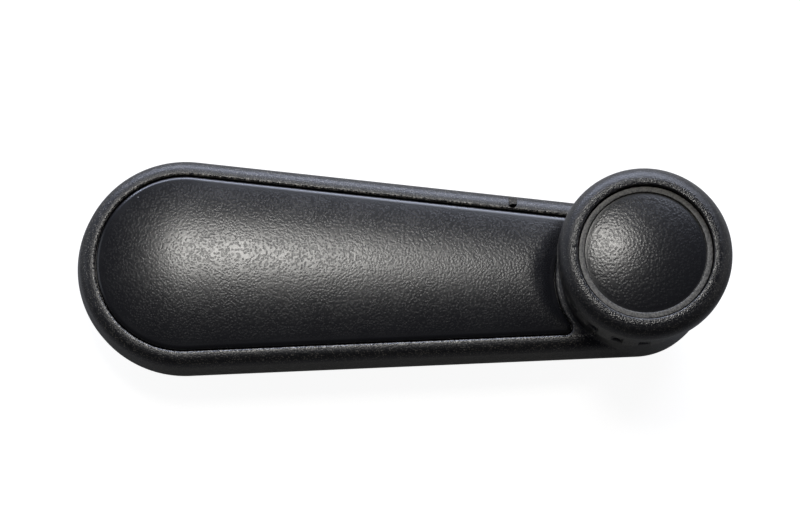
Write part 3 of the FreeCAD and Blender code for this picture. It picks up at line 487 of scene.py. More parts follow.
def make_knob_boss(arm):
    """The raised boss under the knob. It stands a hair proud of the wall below it."""
    hair = 10 * WELD
    proud = arm.knob_radius + hair
    lean = math.tan(arm.boss_draft)
    edge = arm.boss_round
    edge_z = ARM_HIGH.z - edge
    top = proud - (ARM_HIGH.z - arm.widest_z) * lean + edge * lean
    pen = Pen("knob_boss", KNOB, 0, arm.widest_z - OVERRUN)
    pen.lines((proud - OVERRUN / 2, arm.widest_z - OVERRUN), (proud, arm.widest_z), (top, edge_z))
    pen.arc(top - edge, edge_z, math.pi / 2)
    pen.lines((0, ARM_HIGH.z))
    lathe(KNOB)
    return pen.piece


def rest_ball(arm, aim, centre_inset, centre_z):
    """Rest a ball of the blend's radius on boss and arm, in a direction seen from the knob.

    It touches the boss and, round the middle, the rim's flat top. Towards the arm's sides it
    follows the rim's round and the wall down. The result is the boss's radius at the ball, the
    ball's centre, and the ways from there to the boss and to the arm.
    """
    ball = arm.boss_blend
    slope = slope_of(arm.hub_radius, arm.knob_radius)
    reach = arm.rim_round + ball
    sine, cosine = math.sin(arm.wall_draft), math.cos(arm.wall_draft)
    outward = heading(aim)
    side = 1 if aim < math.pi else -1
    normal = Vector((math.cos(slope), side * math.sin(slope), 0))
    height = arm.rim_z + ball
    for _ in range(SETTLE_ROUNDS):
        boss = arm.knob_radius - (height - arm.widest_z) * math.tan(arm.boss_draft)
        inset = arm.knob_radius - (boss + ball) * outward.dot(normal)
        beyond = max(centre_inset - inset, 0)
        past_round = beyond - reach * cosine
        if past_round > 0:
            height = centre_z + reach * sine - past_round / math.tan(arm.wall_draft)
        else:
            height = centre_z + math.sqrt(reach ** 2 - beyond ** 2)
    if beyond == 0:
        to_arm = -UP
    elif past_round > 0:
        to_arm = -normal * cosine - UP * sine
    else:
        to_arm = (-normal * beyond + UP * (centre_z - height)).normalized()
    return boss, KNOB + outward * (boss + ball) + UP * height, -outward, to_arm


def make_boss_blend(arm, centre_inset, centre_z):
    """The ball-rolled hollow where the boss meets the rim, as a curved wedge of its own."""
    ball = arm.boss_blend
    sunk = ball + ball / 4
    first = slope_of(arm.hub_radius, arm.knob_radius) + DEGREE
    mesh = bmesh.new()
    rings = []
    for index in range(BLEND_SECTIONS + 1):
        aim = first + (2 * math.pi - 2 * first) * index / BLEND_SECTIONS
        boss, centre, to_boss, to_arm = rest_ball(arm, aim, centre_inset, centre_z)
        places = [centre + to_boss * sunk]
        for step in range(BLEND_STEPS + 1):
            places.append(centre + to_boss.slerp(to_arm, step / BLEND_STEPS) * ball)
        places.append(centre + to_arm * sunk)
        places.append(KNOB - to_boss * (boss - 3 * ball) + UP * (arm.widest_z + OVERRUN))
        rings.append([mesh.verts.new(place) for place in places])
    for ring, following in zip(rings, rings[1:]):
        for index in range(len(ring)):
            after = (index + 1) % len(ring)
            mesh.faces.new((ring[index], ring[after], following[after], following[index]))
    mesh.faces.new(rings[0])
    mesh.faces.new(rings[-1])
    bmesh.ops.recalc_face_normals(mesh, faces=mesh.faces)
    data = bpy.data.meshes.new("boss_blend")
    mesh.to_mesh(data)
    mesh.free()
    blend = bpy.data.objects.new("boss_blend", data)
    bpy.context.scene.collection.objects.link(blend)
    return blend


def make_hub_boss(arm):
    edge = arm.hub_boss_round
    top = arm.recess_z - OVERRUN
    pen = Pen("hub_boss", HUB, 0, 0)
    pen.lines((arm.hub_boss_radius - edge, 0))
    pen.arc(arm.hub_boss_radius - edge, edge, math.pi / 2)
    pen.lines((arm.hub_boss_radius, top), (0, top))
    lathe(HUB)
    return pen.piece


def make_recess(arm):
    """The space for the cover, flared at the top to round the rim's lip."""
    hub_radius = arm.hub_radius - arm.rim_width
    knob_radius = arm.knob_radius - arm.rim_width
    flared = -hub_radius - arm.lip_round
    lip_z = arm.rim_z - arm.lip_round
    pen = Pen("recess", HUB, -hub_radius, arm.recess_z)
    pen.lines((-hub_radius, lip_z))
    pen.arc(flared, lip_z, math.pi / 2, EDGE_STEP)
    pen.lines((flared, arm.rim_z + OVERRUN))
    sweep_bitten(slope_of(hub_radius, knob_radius), knob_radius, arm.recess_end_radius,
                 arm.recess_corner)
    close_prism(pen.piece, arm.recess_z, arm.rim_z + OVERRUN)
    return pen.piece


def make_open_back(arm):
    """The hollow cells behind the arm, with the ribs, hub boss and pin post left standing."""
    low = arm.back_z - OVERRUN
    inner = arm.side_wall - arm.hub_radius
    pen = Pen("open_back", HUB, inner, low)
    pen.lines((inner, arm.floor_back_z))
    sweep_teardrop(slope_of(arm.hub_radius, arm.knob_radius))
    close_prism(pen.piece, low, arm.floor_back_z)
    hollow = pen.piece
    core_z = ARM_HIGH.z - arm.boss_plate
    fuse(hollow, add_cylinder(KNOB, arm.knob_radius - arm.boss_wall, low, core_z))
    half = arm.rib_thickness / 2
    foot = arm.back_z + arm.rib_setback
    top = core_z + OVERRUN
    reach = 2 * arm.hub_radius
    cut(hollow, add_box((-reach, -half, foot), (KNOB.x + reach, half, top)))
    for step in range(arm.rib_count):
        x = arm.first_rib + arm.rib_pitch * step
        cut(hollow, add_box((x - half, -reach, foot), (x + half, reach, top)))
    for degrees in (45, 135, 225, 315):
        cut(hollow, add_box((0, -half, foot), (reach, half, top), degrees * DEGREE))
    cut(hollow, add_cylinder(HUB, arm.hub_boss_radius, low - OVERRUN, arm.rim_z))
    cut(hollow, add_cylinder(KNOB, arm.post_radius, arm.post_back_z, ARM_HIGH.z))
    fuse(hollow, add_cylinder(KNOB, arm.rivet_room, low, arm.post_back_z))
    return hollow


def leg_places(cover):
    """Station and outer face of each snap leg, with the side it stands on."""
    for way in LEG_STATIONS:
        station = way * KNOB.x
        half_width = cover.hub_radius + (cover.knob_radius - cover.hub_radius) * station / KNOB.x
        for side in (1, -1):
            yield station, half_width - cover.leg_inset, side


def cut_windows(piece, arm, cover):
    play = cover.window_clearance
    half = cover.leg_width / 2 + play
    for station, outer, side in leg_places(cover):
        near, far = sorted((side * (outer - cover.leg_thickness - play), side * (outer + play)))
        cut(piece, add_box((station - half, near, arm.widest_z - OVERRUN),
                           (station + half, far, arm.rim_z + OVERRUN)))


def cut_notch(piece, arm):
    """A slot in from the rim's outer side, with a round end just short of the recess."""
    x = arm.notch_x
    half = arm.notch_width / 2
    edge_y = arm.hub_radius - arm.rim_width + (arm.knob_radius - arm.hub_radius) * x / KNOB.x
    end_y = edge_y + arm.notch_lip + half
    low = arm.notch_floor_z
    high = arm.rim_z + OVERRUN
    slot = add_box((x - half, end_y, low), (x + half, end_y + arm.rim_width, high))
    fuse(slot, add_cylinder(Vector((x, end_y, 0)), half, low, high, sides=24))
    cut(piece, slot)


class WINDER_OT_arm(bpy.types.Operator):
    """Model the crank arm: rim, bosses, recess, pry notch and ribbed open back"""
    bl_idname = "winder.arm"
    bl_label = "Crank arm"

    def execute(self, context):
        arm = sizes("arm")
        piece, centre_inset, centre_z = make_arm_wall(arm)
        fuse(piece, make_knob_boss(arm))
        fuse(piece, make_boss_blend(arm, centre_inset, centre_z))
        fuse(piece, make_hub_boss(arm))
        cut(piece, make_recess(arm))
        cut(piece, add_cylinder(HUB, arm.well_radius, INSERT_HIGH.z, arm.rim_z))
        insert_corner = INSERT_HIGH.y / math.cos(math.pi / 6)
        cut(piece, add_cylinder(HUB, insert_corner, -OVERRUN, INSERT_HIGH.z, sides=6))
        cut(piece, make_open_back(arm))
        cut(piece, add_cylinder(KNOB, arm.pin_hole, 0, ARM_HIGH.z + OVERRUN, sides=48))
        cut_windows(piece, arm, sizes("cover"))
        cut_notch(piece, arm)
        finish_piece(piece, arm_plastic(), "handle", ["crank_arm"])
        return {"FINISHED"}


# Cover

# Rings over the rolled edge and over the shoulder, and how much of a corner they may fill
ROLL_RINGS = 4
SHOULDER_RINGS = 8
CORNER_FILL = 0.97

# Inside its corners, the way in from the hollow end counts this much more, so that the arch
# runs on to the end. The side's and the end's slopes are blended over a share of the way in.
END_GAIN = 5
BLEND_SHARE = 1.5


def roll_inset(cover, lean):
    """Distance in from the side where the rolled edge's normal has a lean."""
    return cover.edge_roll * (1 - math.sin(lean))


def shoulder_inset(cover, lean):
    """The same on the shoulder."""
    start = math.sin(cover.roll_lean)
    return roll_inset(cover, cover.roll_lean) + cover.shoulder * (start - math.sin(lean))


def crown_height(cover, inset, half_width):
    """Height of the cover's skin at a distance in from its side, where it is so wide."""
    roll, shoulder = cover.edge_roll, cover.shoulder
    roll_end = roll_inset(cover, cover.roll_lean)
    if inset < roll_end:
        return cover.edge_z + roll * math.cos(math.asin(1 - max(inset, 0) / roll))
    roll_z = cover.edge_z + roll * math.cos(cover.roll_lean)
    crown_start = shoulder_inset(cover, cover.shoulder_lean)
    lean = math.asin(math.sin(cover.roll_lean) - (min(inset, crown_start) - roll_end) / shoulder)
    shoulder_z = roll_z + shoulder * (math.cos(lean) - math.cos(cover.roll_lean))
    run_in = half_width - crown_start
    left = min(max(1 - (inset - crown_start) / run_in, 0), 1)
    power = cover.crown_power
    return shoulder_z + math.tan(cover.shoulder_lean) * run_in / power * (1 - left ** power)


def edge_insets(cover):
    """How far in the rings lie that make the rolled edge and the shoulder."""
    upright = math.pi / 2
    roll = upright - cover.roll_lean
    shoulder = cover.roll_lean - cover.shoulder_lean
    insets = [roll_inset(cover, upright - roll * ring / ROLL_RINGS) for ring in range(ROLL_RINGS + 1)]
    insets += [shoulder_inset(cover, cover.roll_lean - shoulder * ring / SHOULDER_RINGS)
               for ring in range(1, SHOULDER_RINGS + 1)]
    return [inset for inset in insets if inset < cover.corner * CORNER_FILL]


def make_cover_skin(cover, floor_z):
    """The cover's upright edge, rolled edge and crown over its plan outline."""
    pen = Pen("cover_moulding", HUB, -cover.hub_radius, floor_z)
    pen.lines((-cover.hub_radius, cover.edge_z))
    slope = slope_of(cover.hub_radius, cover.knob_radius)
    sweep_bitten(slope, cover.knob_radius, cover.end_radius, cover.corner)
    piece = pen.piece
    close_prism(piece, floor_z, cover.edge_z)
    bpy.ops.object.mode_set(mode="EDIT")
    select_level(piece, cover.edge_z)
    insets = edge_insets(cover)
    heights = [crown_height(cover, inset, cover.hub_radius) for inset in insets]
    for ring in range(1, len(insets)):
        bpy.ops.mesh.inset(thickness=insets[ring] - insets[ring - 1],
                           depth=heights[ring] - heights[ring - 1], use_even_offset=True)
    for side, axis in enumerate((ALONG, ACROSS)):
        low, high = COVER_LOW[side] + cover.corner, COVER_HIGH[side] - cover.corner
        count = round((high - low) / cover.crown_step)
        for step in range(1, count):
            select_all()
            bpy.ops.mesh.bisect(plane_co=axis * (low + (high - low) * step / count), plane_no=axis)
    bpy.ops.object.mode_set(mode="OBJECT")
    shoulder_z = heights[-1]
    for vertex in piece.data.vertices:
        if vertex.co.z > shoulder_z - WELD:
            inset = crown_inset(cover, slope, vertex.co)
            half_width = cover.hub_radius - max(vertex.co.x, 0) * math.cos(slope)
            vertex.co.z = max(crown_height(cover, inset, half_width), shoulder_z)
    return piece


def crown_inset(cover, slope, place):
    """Distance in from the outline, blended where the sides meet the hollow end."""
    plan = Vector((place.x, abs(place.y)))
    on_hub = math.atan2(plan.y, plan.x) >= slope
    normal = Vector((math.cos(slope), math.sin(slope)))
    from_side = cover.hub_radius - (plan.length if on_hub else plan.dot(normal))
    from_end = (place - KNOB).to_2d().length - cover.end_radius
    from_end += max(from_end - cover.corner, 0) * END_GAIN
    nearest = min(from_side, from_end)
    blend = BLEND_SHARE * (nearest - cover.corner)
    if blend <= 0:
        return nearest
    return nearest - max(blend - abs(from_side - from_end), 0) ** 2 / blend / 4


def make_cover_hollow(cover, floor_z):
    hub_radius = cover.hub_radius - cover.wall
    knob_radius = cover.knob_radius - cover.wall
    low = floor_z - OVERRUN
    pen = Pen("cover_hollow", HUB, -hub_radius, low)
    pen.lines((-hub_radius, cover.hollow_z))
    sweep_bitten(slope_of(hub_radius, knob_radius), knob_radius, cover.end_radius + cover.wall,
                 cover.corner)
    close_prism(pen.piece, low, cover.hollow_z)
    return pen.piece


def make_leg(cover, floor_back_z, station, outer, side):
    """A snap leg whose hook catches under the recess floor."""
    root = cover.hollow_z + cover.wall / 4
    catch = floor_back_z - cover.window_clearance / 2
    foot = catch - cover.hook_height
    inner = outer - cover.leg_thickness
    hook = outer + cover.leg_reach
    corners = [(inner, root), (inner, foot), (outer, foot), (hook, catch - cover.leg_reach / 2),
               (hook, catch), (outer, catch), (outer, root)]
    places = [Vector((station - cover.leg_width / 2, side * y, z)) for y, z in corners]
    piece = start_outline("snap_leg", places[0])
    for before, place in zip(places, places[1:]):
        run(place - before)
    select_all()
    bpy.ops.mesh.edge_face_add()
    run(ALONG * cover.leg_width)
    close_solid()
    return piece


class WINDER_OT_cover(bpy.types.Operator):
    """Model the crowned cover with its rolled edge and snap legs"""
    bl_idname = "winder.cover"
    bl_label = "Cover"

    def execute(self, context):
        arm = sizes("arm")
        cover = sizes("cover")
        piece = make_cover_skin(cover, arm.recess_z)
        cut(piece, make_cover_hollow(cover, arm.recess_z))
        for station, outer, side in leg_places(cover):
            fuse(piece, make_leg(cover, arm.floor_back_z, station, outer, side))
        finish_piece(piece, cover_plastic(), "handle", ["arm_cover"],
                     crease=50 * DEGREE)
        return {"FINISHED"}


# Knob

# Rings between the skirt's foot and its neck, and from the dome's middle to its edge
SKIRT_RINGS = 6
DOME_RINGS = 24


def neck_height(grip):
    """Height at which the skirt meets the bead."""
    return GRIP_HIGH.z - grip.bead_radius - grip.bead_side - grip.bead_foot_round


def polar_place(radius, aim):
    return KNOB + heading(aim) * radius


def shrink_plan(factor):
    bpy.ops.transform.resize(value=(factor, factor, 1), center_override=KNOB)


def make_skirt(grip, neck_z, top_z):
    """The fluted skirt: lands and flutes drawn in plan at the foot, then drawn up to the neck."""
    land = grip.foot_radius - grip.land_round
    reach = grip.flute_radius + grip.land_round
    axis_gap = grip.foot_radius + grip.flute_radius - grip.flute_depth
    at_axis = math.acos((land ** 2 + axis_gap ** 2 - reach ** 2) / (2 * land * axis_gap))
    at_flute = math.acos((reach ** 2 + axis_gap ** 2 - land ** 2) / (2 * reach * axis_gap))
    pitch = 2 * math.pi / grip.flute_count
    first = grip.flute_phase - pitch + at_axis
    piece = start_outline("knob_grip", polar_place(grip.foot_radius, first) + UP * grip.foot_z)
    for step in range(grip.flute_count):
        flute = grip.flute_phase + pitch * step
        turn(pitch - 2 * at_axis, KNOB)
        turn(at_axis + at_flute, polar_place(land, flute - at_axis), 4 * ROUND_STEP)
        turn(-2 * at_flute, polar_place(axis_gap, flute), ROUND_STEP)
        turn(at_axis + at_flute, polar_place(land, flute + at_axis), 4 * ROUND_STEP)
    select_all()
    bpy.ops.mesh.remove_doubles(threshold=WELD)
    bevelled = 1 - grip.foot_bevel / grip.foot_radius
    shrink_plan(bevelled)
    run(UP * grip.foot_bevel)
    shrink_plan(1 / bevelled)
    narrower = (grip.foot_radius - grip.neck_radius) / SKIRT_RINGS
    for step in range(SKIRT_RINGS):
        run(UP * (neck_z - grip.foot_z - grip.foot_bevel) / SKIRT_RINGS)
        shrink_plan(1 - narrower / (grip.foot_radius - narrower * step))
    run(UP * (top_z - neck_z))
    close_prism(piece, grip.foot_z, top_z)
    return piece


def make_bead(grip, centre_radius, centre_z):
    """A large round above, an upright side and a small round under it."""
    large, small = grip.bead_radius, grip.bead_foot_round
    inner = centre_radius - large
    outer = centre_radius + large
    side_z = centre_z - grip.bead_side
    pen = Pen("bead", KNOB, inner, side_z - small)
    pen.lines((outer - small, side_z - small))
    pen.arc(outer - small, side_z, math.pi / 2, BEAD_FOOT_STEP)
    pen.lines((outer, centre_z))
    pen.arc(centre_radius, centre_z, math.pi, BEAD_STEP)
    pen.lines((inner, side_z - small))
    lathe(KNOB)
    return pen.piece


def make_knob_hollow(grip, bead_radius, bead_z):
    """Everything inside the knob: cap seat, cavity, trough round the hub, bush bore."""
    lip = grip.seat_lip
    lip_x = grip.seat_radius + lip
    lip_z = bead_z + math.sqrt((grip.bead_radius - lip) ** 2 - (bead_radius - lip_x) ** 2)
    lip_turn = math.pi / 2 + math.atan2(bead_radius - lip_x, lip_z - bead_z)
    touch = Vector((lip_x, lip_z)) + Vector((math.cos(lip_turn), math.sin(lip_turn))) * lip
    flare_z = touch.y - (bead_radius - touch.x) / math.tan(lip_turn)
    top = GRIP_HIGH.z + 2 * OVERRUN
    low = grip.foot_z - OVERRUN
    pen = Pen("knob_hollow", KNOB, 0, top)
    pen.lines((bead_radius, top), (bead_radius, flare_z), (touch.x, touch.y))
    pen.arc(lip_x, lip_z, math.pi - lip_turn, SEAT_LIP_STEP)
    pen.lines((grip.seat_radius, grip.seat_z), (grip.cavity_radius, grip.seat_z),
              (grip.cavity_radius, grip.web_z), (grip.hub_radius, grip.web_z),
              (grip.hub_radius, grip.hub_top_z), (grip.bore_radius, grip.hub_top_z),
              (grip.bore_radius, grip.flange_z), (grip.flange_radius, grip.flange_z),
              (grip.flange_radius, low), (0, low))
    lathe(KNOB)
    return pen.piece


class WINDER_OT_grip(bpy.types.Operator):
    """Model the knob: fluted skirt, round bead and hollow inside"""
    bl_idname = "winder.grip"
    bl_label = "Knob grip"

    def execute(self, context):
        grip = sizes("grip")
        bead_radius = GRIP_HIGH.x - KNOB.x - grip.bead_radius
        bead_z = GRIP_HIGH.z - grip.bead_radius
        piece = make_skirt(grip, neck_height(grip), bead_z)
        fuse(piece, make_bead(grip, bead_radius, bead_z))
        cut(piece, make_knob_hollow(grip, bead_radius, bead_z))
        finish_piece(piece, knob_plastic(), "knob", ["knob_body"])
        return {"FINISHED"}


class WINDER_OT_cap(bpy.types.Operator):
    """Model the snap-in cap: thin ring, step and shallow dome"""
    bl_idname = "winder.cap"
    bl_label = "Knob cap"

    def execute(self, context):
        cap = sizes("cap")
        seat_z = sizes("grip").seat_z
        edge_z = cap.ring_z - cap.ring_step
        dome = cap.radius - cap.ring_width
        rise = cap.dome_z - edge_z
        dome_radius = (dome ** 2 / rise + rise) / 2
        dome_turn = math.asin(dome / dome_radius)
        lip = cap.ring_step * 0.4
        lip_z = cap.ring_z - lip
        inner = cap.plug_radius - cap.plug_wall
        # A fine groove parts the dome from the ring's inner wall
        groove, groove_end, ring = dome + 0.05 * MM, dome + 0.14 * MM, dome + 0.18 * MM
        groove_z = edge_z - 0.12 * MM
        pen = Pen("cap_moulding", KNOB, 0, cap.dome_z)
        pen.arc(0, cap.dome_z - dome_radius, -dome_turn, dome_turn / DOME_RINGS)
        pen.lines((groove, groove_z), (groove_end, edge_z), (ring, lip_z))
        pen.arc(ring + lip, lip_z, -math.pi / 2, EDGE_STEP)
        pen.lines((cap.radius - lip, cap.ring_z))
        pen.arc(cap.radius - lip, lip_z, -math.pi / 2, EDGE_STEP)
        pen.lines((cap.radius, seat_z), (cap.plug_radius, seat_z), (cap.plug_radius, CAP_LOW.z),
                  (inner, CAP_LOW.z), (inner, edge_z - cap.skin), (0, cap.dome_z - cap.skin))
        lathe(KNOB, CAP_STEP)
        finish_piece(pen.piece, cap_plastic(), "knob", ["knob_cap"])
        return {"FINISHED"}


# Finishes

# Between which values of a noise or a cell's distance a mark fades in or out
# The glint specks are painted glints; the lip mark is scuffing with a painted highlight, the land and
# ring marks scuffing with a painted reflection and sheen
PAINTED_GLINT = (0.60, 0.74)
LIP_WEAR_AND_HIGHLIGHT = (0.45, 0.70)
LAND_WEAR_AND_REFLECTION = (0.30, 0.55)
RING_WEAR_AND_SHEEN = (0.3, 0.7)
SPECK = (0.014, 0.024)
PIT = (0.10, 0.72)
TARNISH = (0.35, 0.75)

# The height at which leather grain is neither smoother nor rougher than the moulding
GRAIN_LEVEL = 0.65


class Maths:
    """A number socket that ordinary arithmetic carries on with Math nodes."""

    def __init__(self, finish, socket):
        self.finish = finish
        self.socket = socket

    def apply(self, operation, *others):
        return self.finish.node("ShaderNodeMath", dict(enumerate([self, *others])), operation=operation)

    def __add__(self, other):
        return self.apply("ADD", other)

    __radd__ = __add__

    def __sub__(self, other):
        return self.apply("SUBTRACT", other)

    def __rsub__(self, first):
        return self.finish.node("ShaderNodeMath", {0: first, 1: self}, operation="SUBTRACT")

    def __mul__(self, other):
        return self.apply("MULTIPLY", other)

    __rmul__ = __mul__

    def ramp(self, low, high):
        """0 below low, 1 above high, and a smooth step between."""
        values = {"Value": self, "From Min": low, "From Max": high}
        return self.finish.node("ShaderNodeMapRange", values, interpolation_type="SMOOTHSTEP")

    def band(self, middle, full, none):
        """1 up to a distance from the middle, fading to 0 at a larger one."""
        return 1 - (self - middle).apply("ABSOLUTE").ramp(full, none)


class Finish:
    """A material in the making. Its plain colour and roughness stand until a map takes over."""

    def __init__(self, name, base, roughness, metallic=0.0):
        self.material = bpy.data.materials.new(name)
        self.material.use_nodes = True
        self.nodes = self.material.node_tree.nodes
        self.links = self.material.node_tree.links
        self.shader = self.nodes["Principled BSDF"]
        self.set("Base Color", base)
        self.set("Roughness", roughness)
        self.set("Metallic", metallic)
        self.place = self.node("ShaderNodeTexCoord", output="Object")

    def node(self, kind, values=None, output=0, **settings):
        """Add a node, set it up, feed its inputs and return one of its outputs."""
        made = self.nodes.new(kind)
        for name, value in settings.items():
            setattr(made, name, value)
        for key, value in (values or {}).items():
            self.feed(made.inputs[key], value)
        return Maths(self, made.outputs[output])

    def feed(self, socket, value):
        if isinstance(value, Maths):
            self.links.new(value.socket, socket)
        elif socket.type == "RGBA":
            socket.default_value = (*value, 1)
        else:
            socket.default_value = value

    def set(self, name, value):
        self.feed(self.shader.inputs[name], value)

    def noise(self, size, detail=2.0):
        return self.node("ShaderNodeTexNoise", {"Vector": self.place, "Scale": 1 / size,
                                                "Detail": detail})

    def cells(self, size, place):
        """Distance to the nearest of the points scattered at this spacing."""
        return self.node("ShaderNodeTexVoronoi", {"Vector": place, "Scale": 1 / size})

    def mix(self, factor, first, second):
        return self.node("ShaderNodeMix", {0: factor, 6: first, 7: second}, 2, data_type="RGBA")

    def bump(self, height, distance):
        self.set("Normal", self.node("ShaderNodeBump", {"Strength": 1.0, "Distance": distance,
                                                        "Height": height}))

    def axis(self, name):
        return self.node("ShaderNodeSeparateXYZ", {0: self.place}, name)


def plan_distance(finish, hub_radius, knob_radius):
    """Distance outside the teardrop, true along the hub and the sides."""
    x, y = finish.axis("X"), finish.axis("Y")
    slope = slope_of(hub_radius, knob_radius)
    from_hub = (x * x + y * y).apply("SQRT")
    short = (y.apply("ABSOLUTE").apply("ARCTAN2", x) - slope).apply("MINIMUM", 0.0)
    return from_hub * short.apply("COSINE") - hub_radius


def knob_distance(finish):
    aside, y = finish.axis("X") - KNOB.x, finish.axis("Y")
    return (aside * aside + y * y).apply("SQRT")


def dusty(finish, look):
    """The mouldings' body colour with a few stray specks of dust."""
    clear = finish.cells(5.5 * MM, finish.place).ramp(*SPECK)
    return finish.mix(clear, look.dust, look.plastic)


def erode(finish, look, wear_and_painted_light, wear_and_light_bounds, wear_and_light_colour, polished, cloud_size):
    """The fine speckle that spark erosion leaves, with painted glints, lighter and polished where two
    masks say.
    """
    speckle = finish.noise(look.speckle, 1.0)
    # Light specks in the colour are painted glints; the masked lighter colour is partly scuffing,
    # partly painted light
    painted_glint = finish.noise(look.speckle * 0.6, 0.0).ramp(*PAINTED_GLINT) * 0.5
    wear_light_and_glint = (wear_and_painted_light * speckle.ramp(*wear_and_light_bounds)).apply("MAXIMUM", painted_glint)
    finish.set("Base Color", finish.mix(wear_light_and_glint, dusty(finish, look), wear_and_light_colour))
    cloud = finish.noise(cloud_size)
    finish.set("Roughness", look.roughness + (cloud - 0.5) * 0.10 - polished * look.polish)
    finish.bump(speckle + finish.noise(look.speckle * 0.5, 0.0) * 0.5, look.speckle_depth)
    return finish.material


def leather_height(finish, cell):
    """Small round pits in a connected network of ridges."""
    wobble = finish.node("ShaderNodeTexNoise", {"Vector": finish.place, "Scale": 1 / (cell * 1.5)}, 1)
    shifted = finish.node("ShaderNodeVectorMath", {0: wobble, 1: (cell * 0.7,) * 3, 2: finish.place},
                          operation="MULTIPLY_ADD")
    return finish.cells(cell, shifted).ramp(*PIT) + finish.noise(cell * 0.45) * 0.45


def arm_plastic():
    """Spark-eroded black moulding, polished along the recess's lip and lighter there: scuffing and a
    painted highlight.
    """
    look = sizes("finish")
    arm = sizes("arm")
    finish = Finish("arm_plastic", look.plastic, look.roughness)
    outside = plan_distance(finish, arm.hub_radius - arm.rim_width, arm.knob_radius - arm.rim_width)
    on_top = finish.axis("Z").ramp(arm.rim_z - 0.8 * MM, arm.rim_z - 0.2 * MM)
    # The lip's lighter colour is partly scuffing, partly a painted highlight along the rim's top
    lip = outside.band(middle=0.35 * MM, full=0.10 * MM, none=0.50 * MM) * on_top
    return erode(finish, look, lip, LIP_WEAR_AND_HIGHLIGHT, look.wear_and_painted_light, lip, cloud_size=6 * MM)


def cover_plastic():
    """Black moulding with a fine leather grain that stops short of its rolled edge."""
    look = sizes("finish")
    cover = sizes("cover")
    finish = Finish("cover_plastic", look.plastic, look.gloss)
    from_side = 0 - plan_distance(finish, cover.hub_radius, cover.knob_radius)
    from_end = knob_distance(finish) - cover.end_radius
    grained = from_side.apply("MINIMUM", from_end).ramp(0.5 * MM, 2.6 * MM)
    finish.set("Base Color", dusty(finish, look))
    cloud = finish.noise(7 * MM)
    grain = leather_height(finish, look.cover_cell)
    finish.set("Roughness", look.gloss + (cloud - 0.5) * 0.08 + (GRAIN_LEVEL - grain) * grained * 0.06)
    finish.bump(grain * grained, look.cover_depth)
    return finish.material


def knob_plastic():
    """The arm's spark-eroded plastic, lighter on the skirt's lands (scuffing and painted reflection),
    smoother on the bead's crest.
    """
    look = sizes("finish")
    grip = sizes("grip")
    neck_z = neck_height(grip)
    finish = Finish("knob_plastic", look.plastic, look.roughness)
    z = finish.axis("Z")
    radius = knob_distance(finish)
    flare = (grip.foot_radius - grip.neck_radius) / (neck_z - grip.foot_z)
    depth = grip.foot_radius - (z - grip.foot_z) * flare - radius
    on_skirt = 1 - z.ramp(neck_z - 0.8 * MM, neck_z - 0.4 * MM)
    land = (1 - depth.ramp(0.10 * MM, 0.30 * MM)) * on_skirt
    crest = radius.band(GRIP_HIGH.x - KNOB.x - grip.bead_radius, full=0.4 * MM, none=1.3 * MM)
    polished = crest * z.ramp(neck_z, GRIP_HIGH.z - 0.5 * MM)
    # The lands' lighter colour is partly scuffing, partly a painted reflection
    return erode(finish, look, land, LAND_WEAR_AND_REFLECTION, look.worn_and_sheen, polished, cloud_size=5 * MM)


def cap_plastic():
    """Grain on the dome, coarser than the cover's, and a less glossy ring without it, lighter in
    patches: scuffing and painted sheen.
    """
    look = sizes("finish")
    cap = sizes("cap")
    finish = Finish("cap_plastic", look.plastic, look.gloss)
    radius = knob_distance(finish)
    dome = cap.radius - cap.ring_width
    ring = radius.ramp(dome - 0.1 * MM, dome + 0.1 * MM)
    grained = 1 - radius.ramp(dome - 1.1 * MM, dome - 0.2 * MM)
    ring_sheen_noise = finish.noise(0.35 * MM)
    # Lighter patches on the ring: partly scuffing, partly a painted sheen
    finish.set("Base Color", finish.mix(ring * ring_sheen_noise.ramp(*RING_WEAR_AND_SHEEN), look.plastic, look.worn_and_sheen))
    grain = leather_height(finish, look.cap_cell)
    finish.set("Roughness", look.gloss + ring * 0.12 + (GRAIN_LEVEL - grain) * grained * 0.04)
    finish.bump(grain * grained + ring * ring_sheen_noise * 0.6, look.cap_depth)
    return finish.material


def darker(colour, amount):
    return [part * amount for part in colour]


def steel(name, base, roughness, grain_size):
    """Plated or plain steel with fine turning marks and cloudy tarnish."""
    finish = Finish(name, base, roughness, metallic=1.0)
    cloud = finish.noise(3 * MM, 3.0)
    finish.set("Base Color", finish.mix(cloud.ramp(*TARNISH), base, darker(base, 0.72)))
    finish.set("Roughness", roughness + (cloud - 0.5) * 0.2)
    finish.bump(finish.noise(grain_size), 0.012 * MM)
    return finish.material


def nylon(name, base):
    finish = Finish(name, base, 0.42)
    finish.set("Base Color", finish.mix(finish.noise(4 * MM), base, darker(base, 0.86)))
    finish.bump(finish.noise(0.4 * MM), 0.02 * MM)
    return finish.material


class WINDER_OT_hardware(bpy.types.Operator):
    """Give the steel and nylon pieces their finishes"""
    bl_idname = "winder.hardware"
    bl_label = "Hardware"

    def execute(self, context):
        look = sizes("finish")
        washer = steel("washer_steel", look.steel, 0.34, 0.3 * MM)
        spring = steel("spring_steel", look.spring, 0.38, 0.3 * MM)
        finishes = {
            "spline_insert": steel("insert_steel", darker(look.steel, 0.55), 0.42, 0.3 * MM),
            "retaining_screw": steel("screw_steel", look.steel, 0.30, 0.2 * MM),
            "plain_washer": washer,
            "lock_washer": spring,
            "knob_pin": steel("pin_steel", look.steel, 0.26, 0.2 * MM),
            "rivet_washer": washer,
            "thrust_washer": washer,
            "head_washer": washer,
            "bowed_spring": spring,
            "knob_bush": nylon("bush_nylon", look.nylon),
        }
        for node, material in finishes.items():
            mesh = frame["nodes"][node].data
            mesh.materials.clear()
            mesh.materials.append(material)
        return {"FINISHED"}


# Stage, light and camera

# How bright the paper looks to the camera, and how bright its near and far parts are in gloss
SEEN = 0.93
NEAR_GLOW = 0.05
FAR_GLOW = 0.65

ARM_MIDDLE = (0.05, 0.0, 0.02)

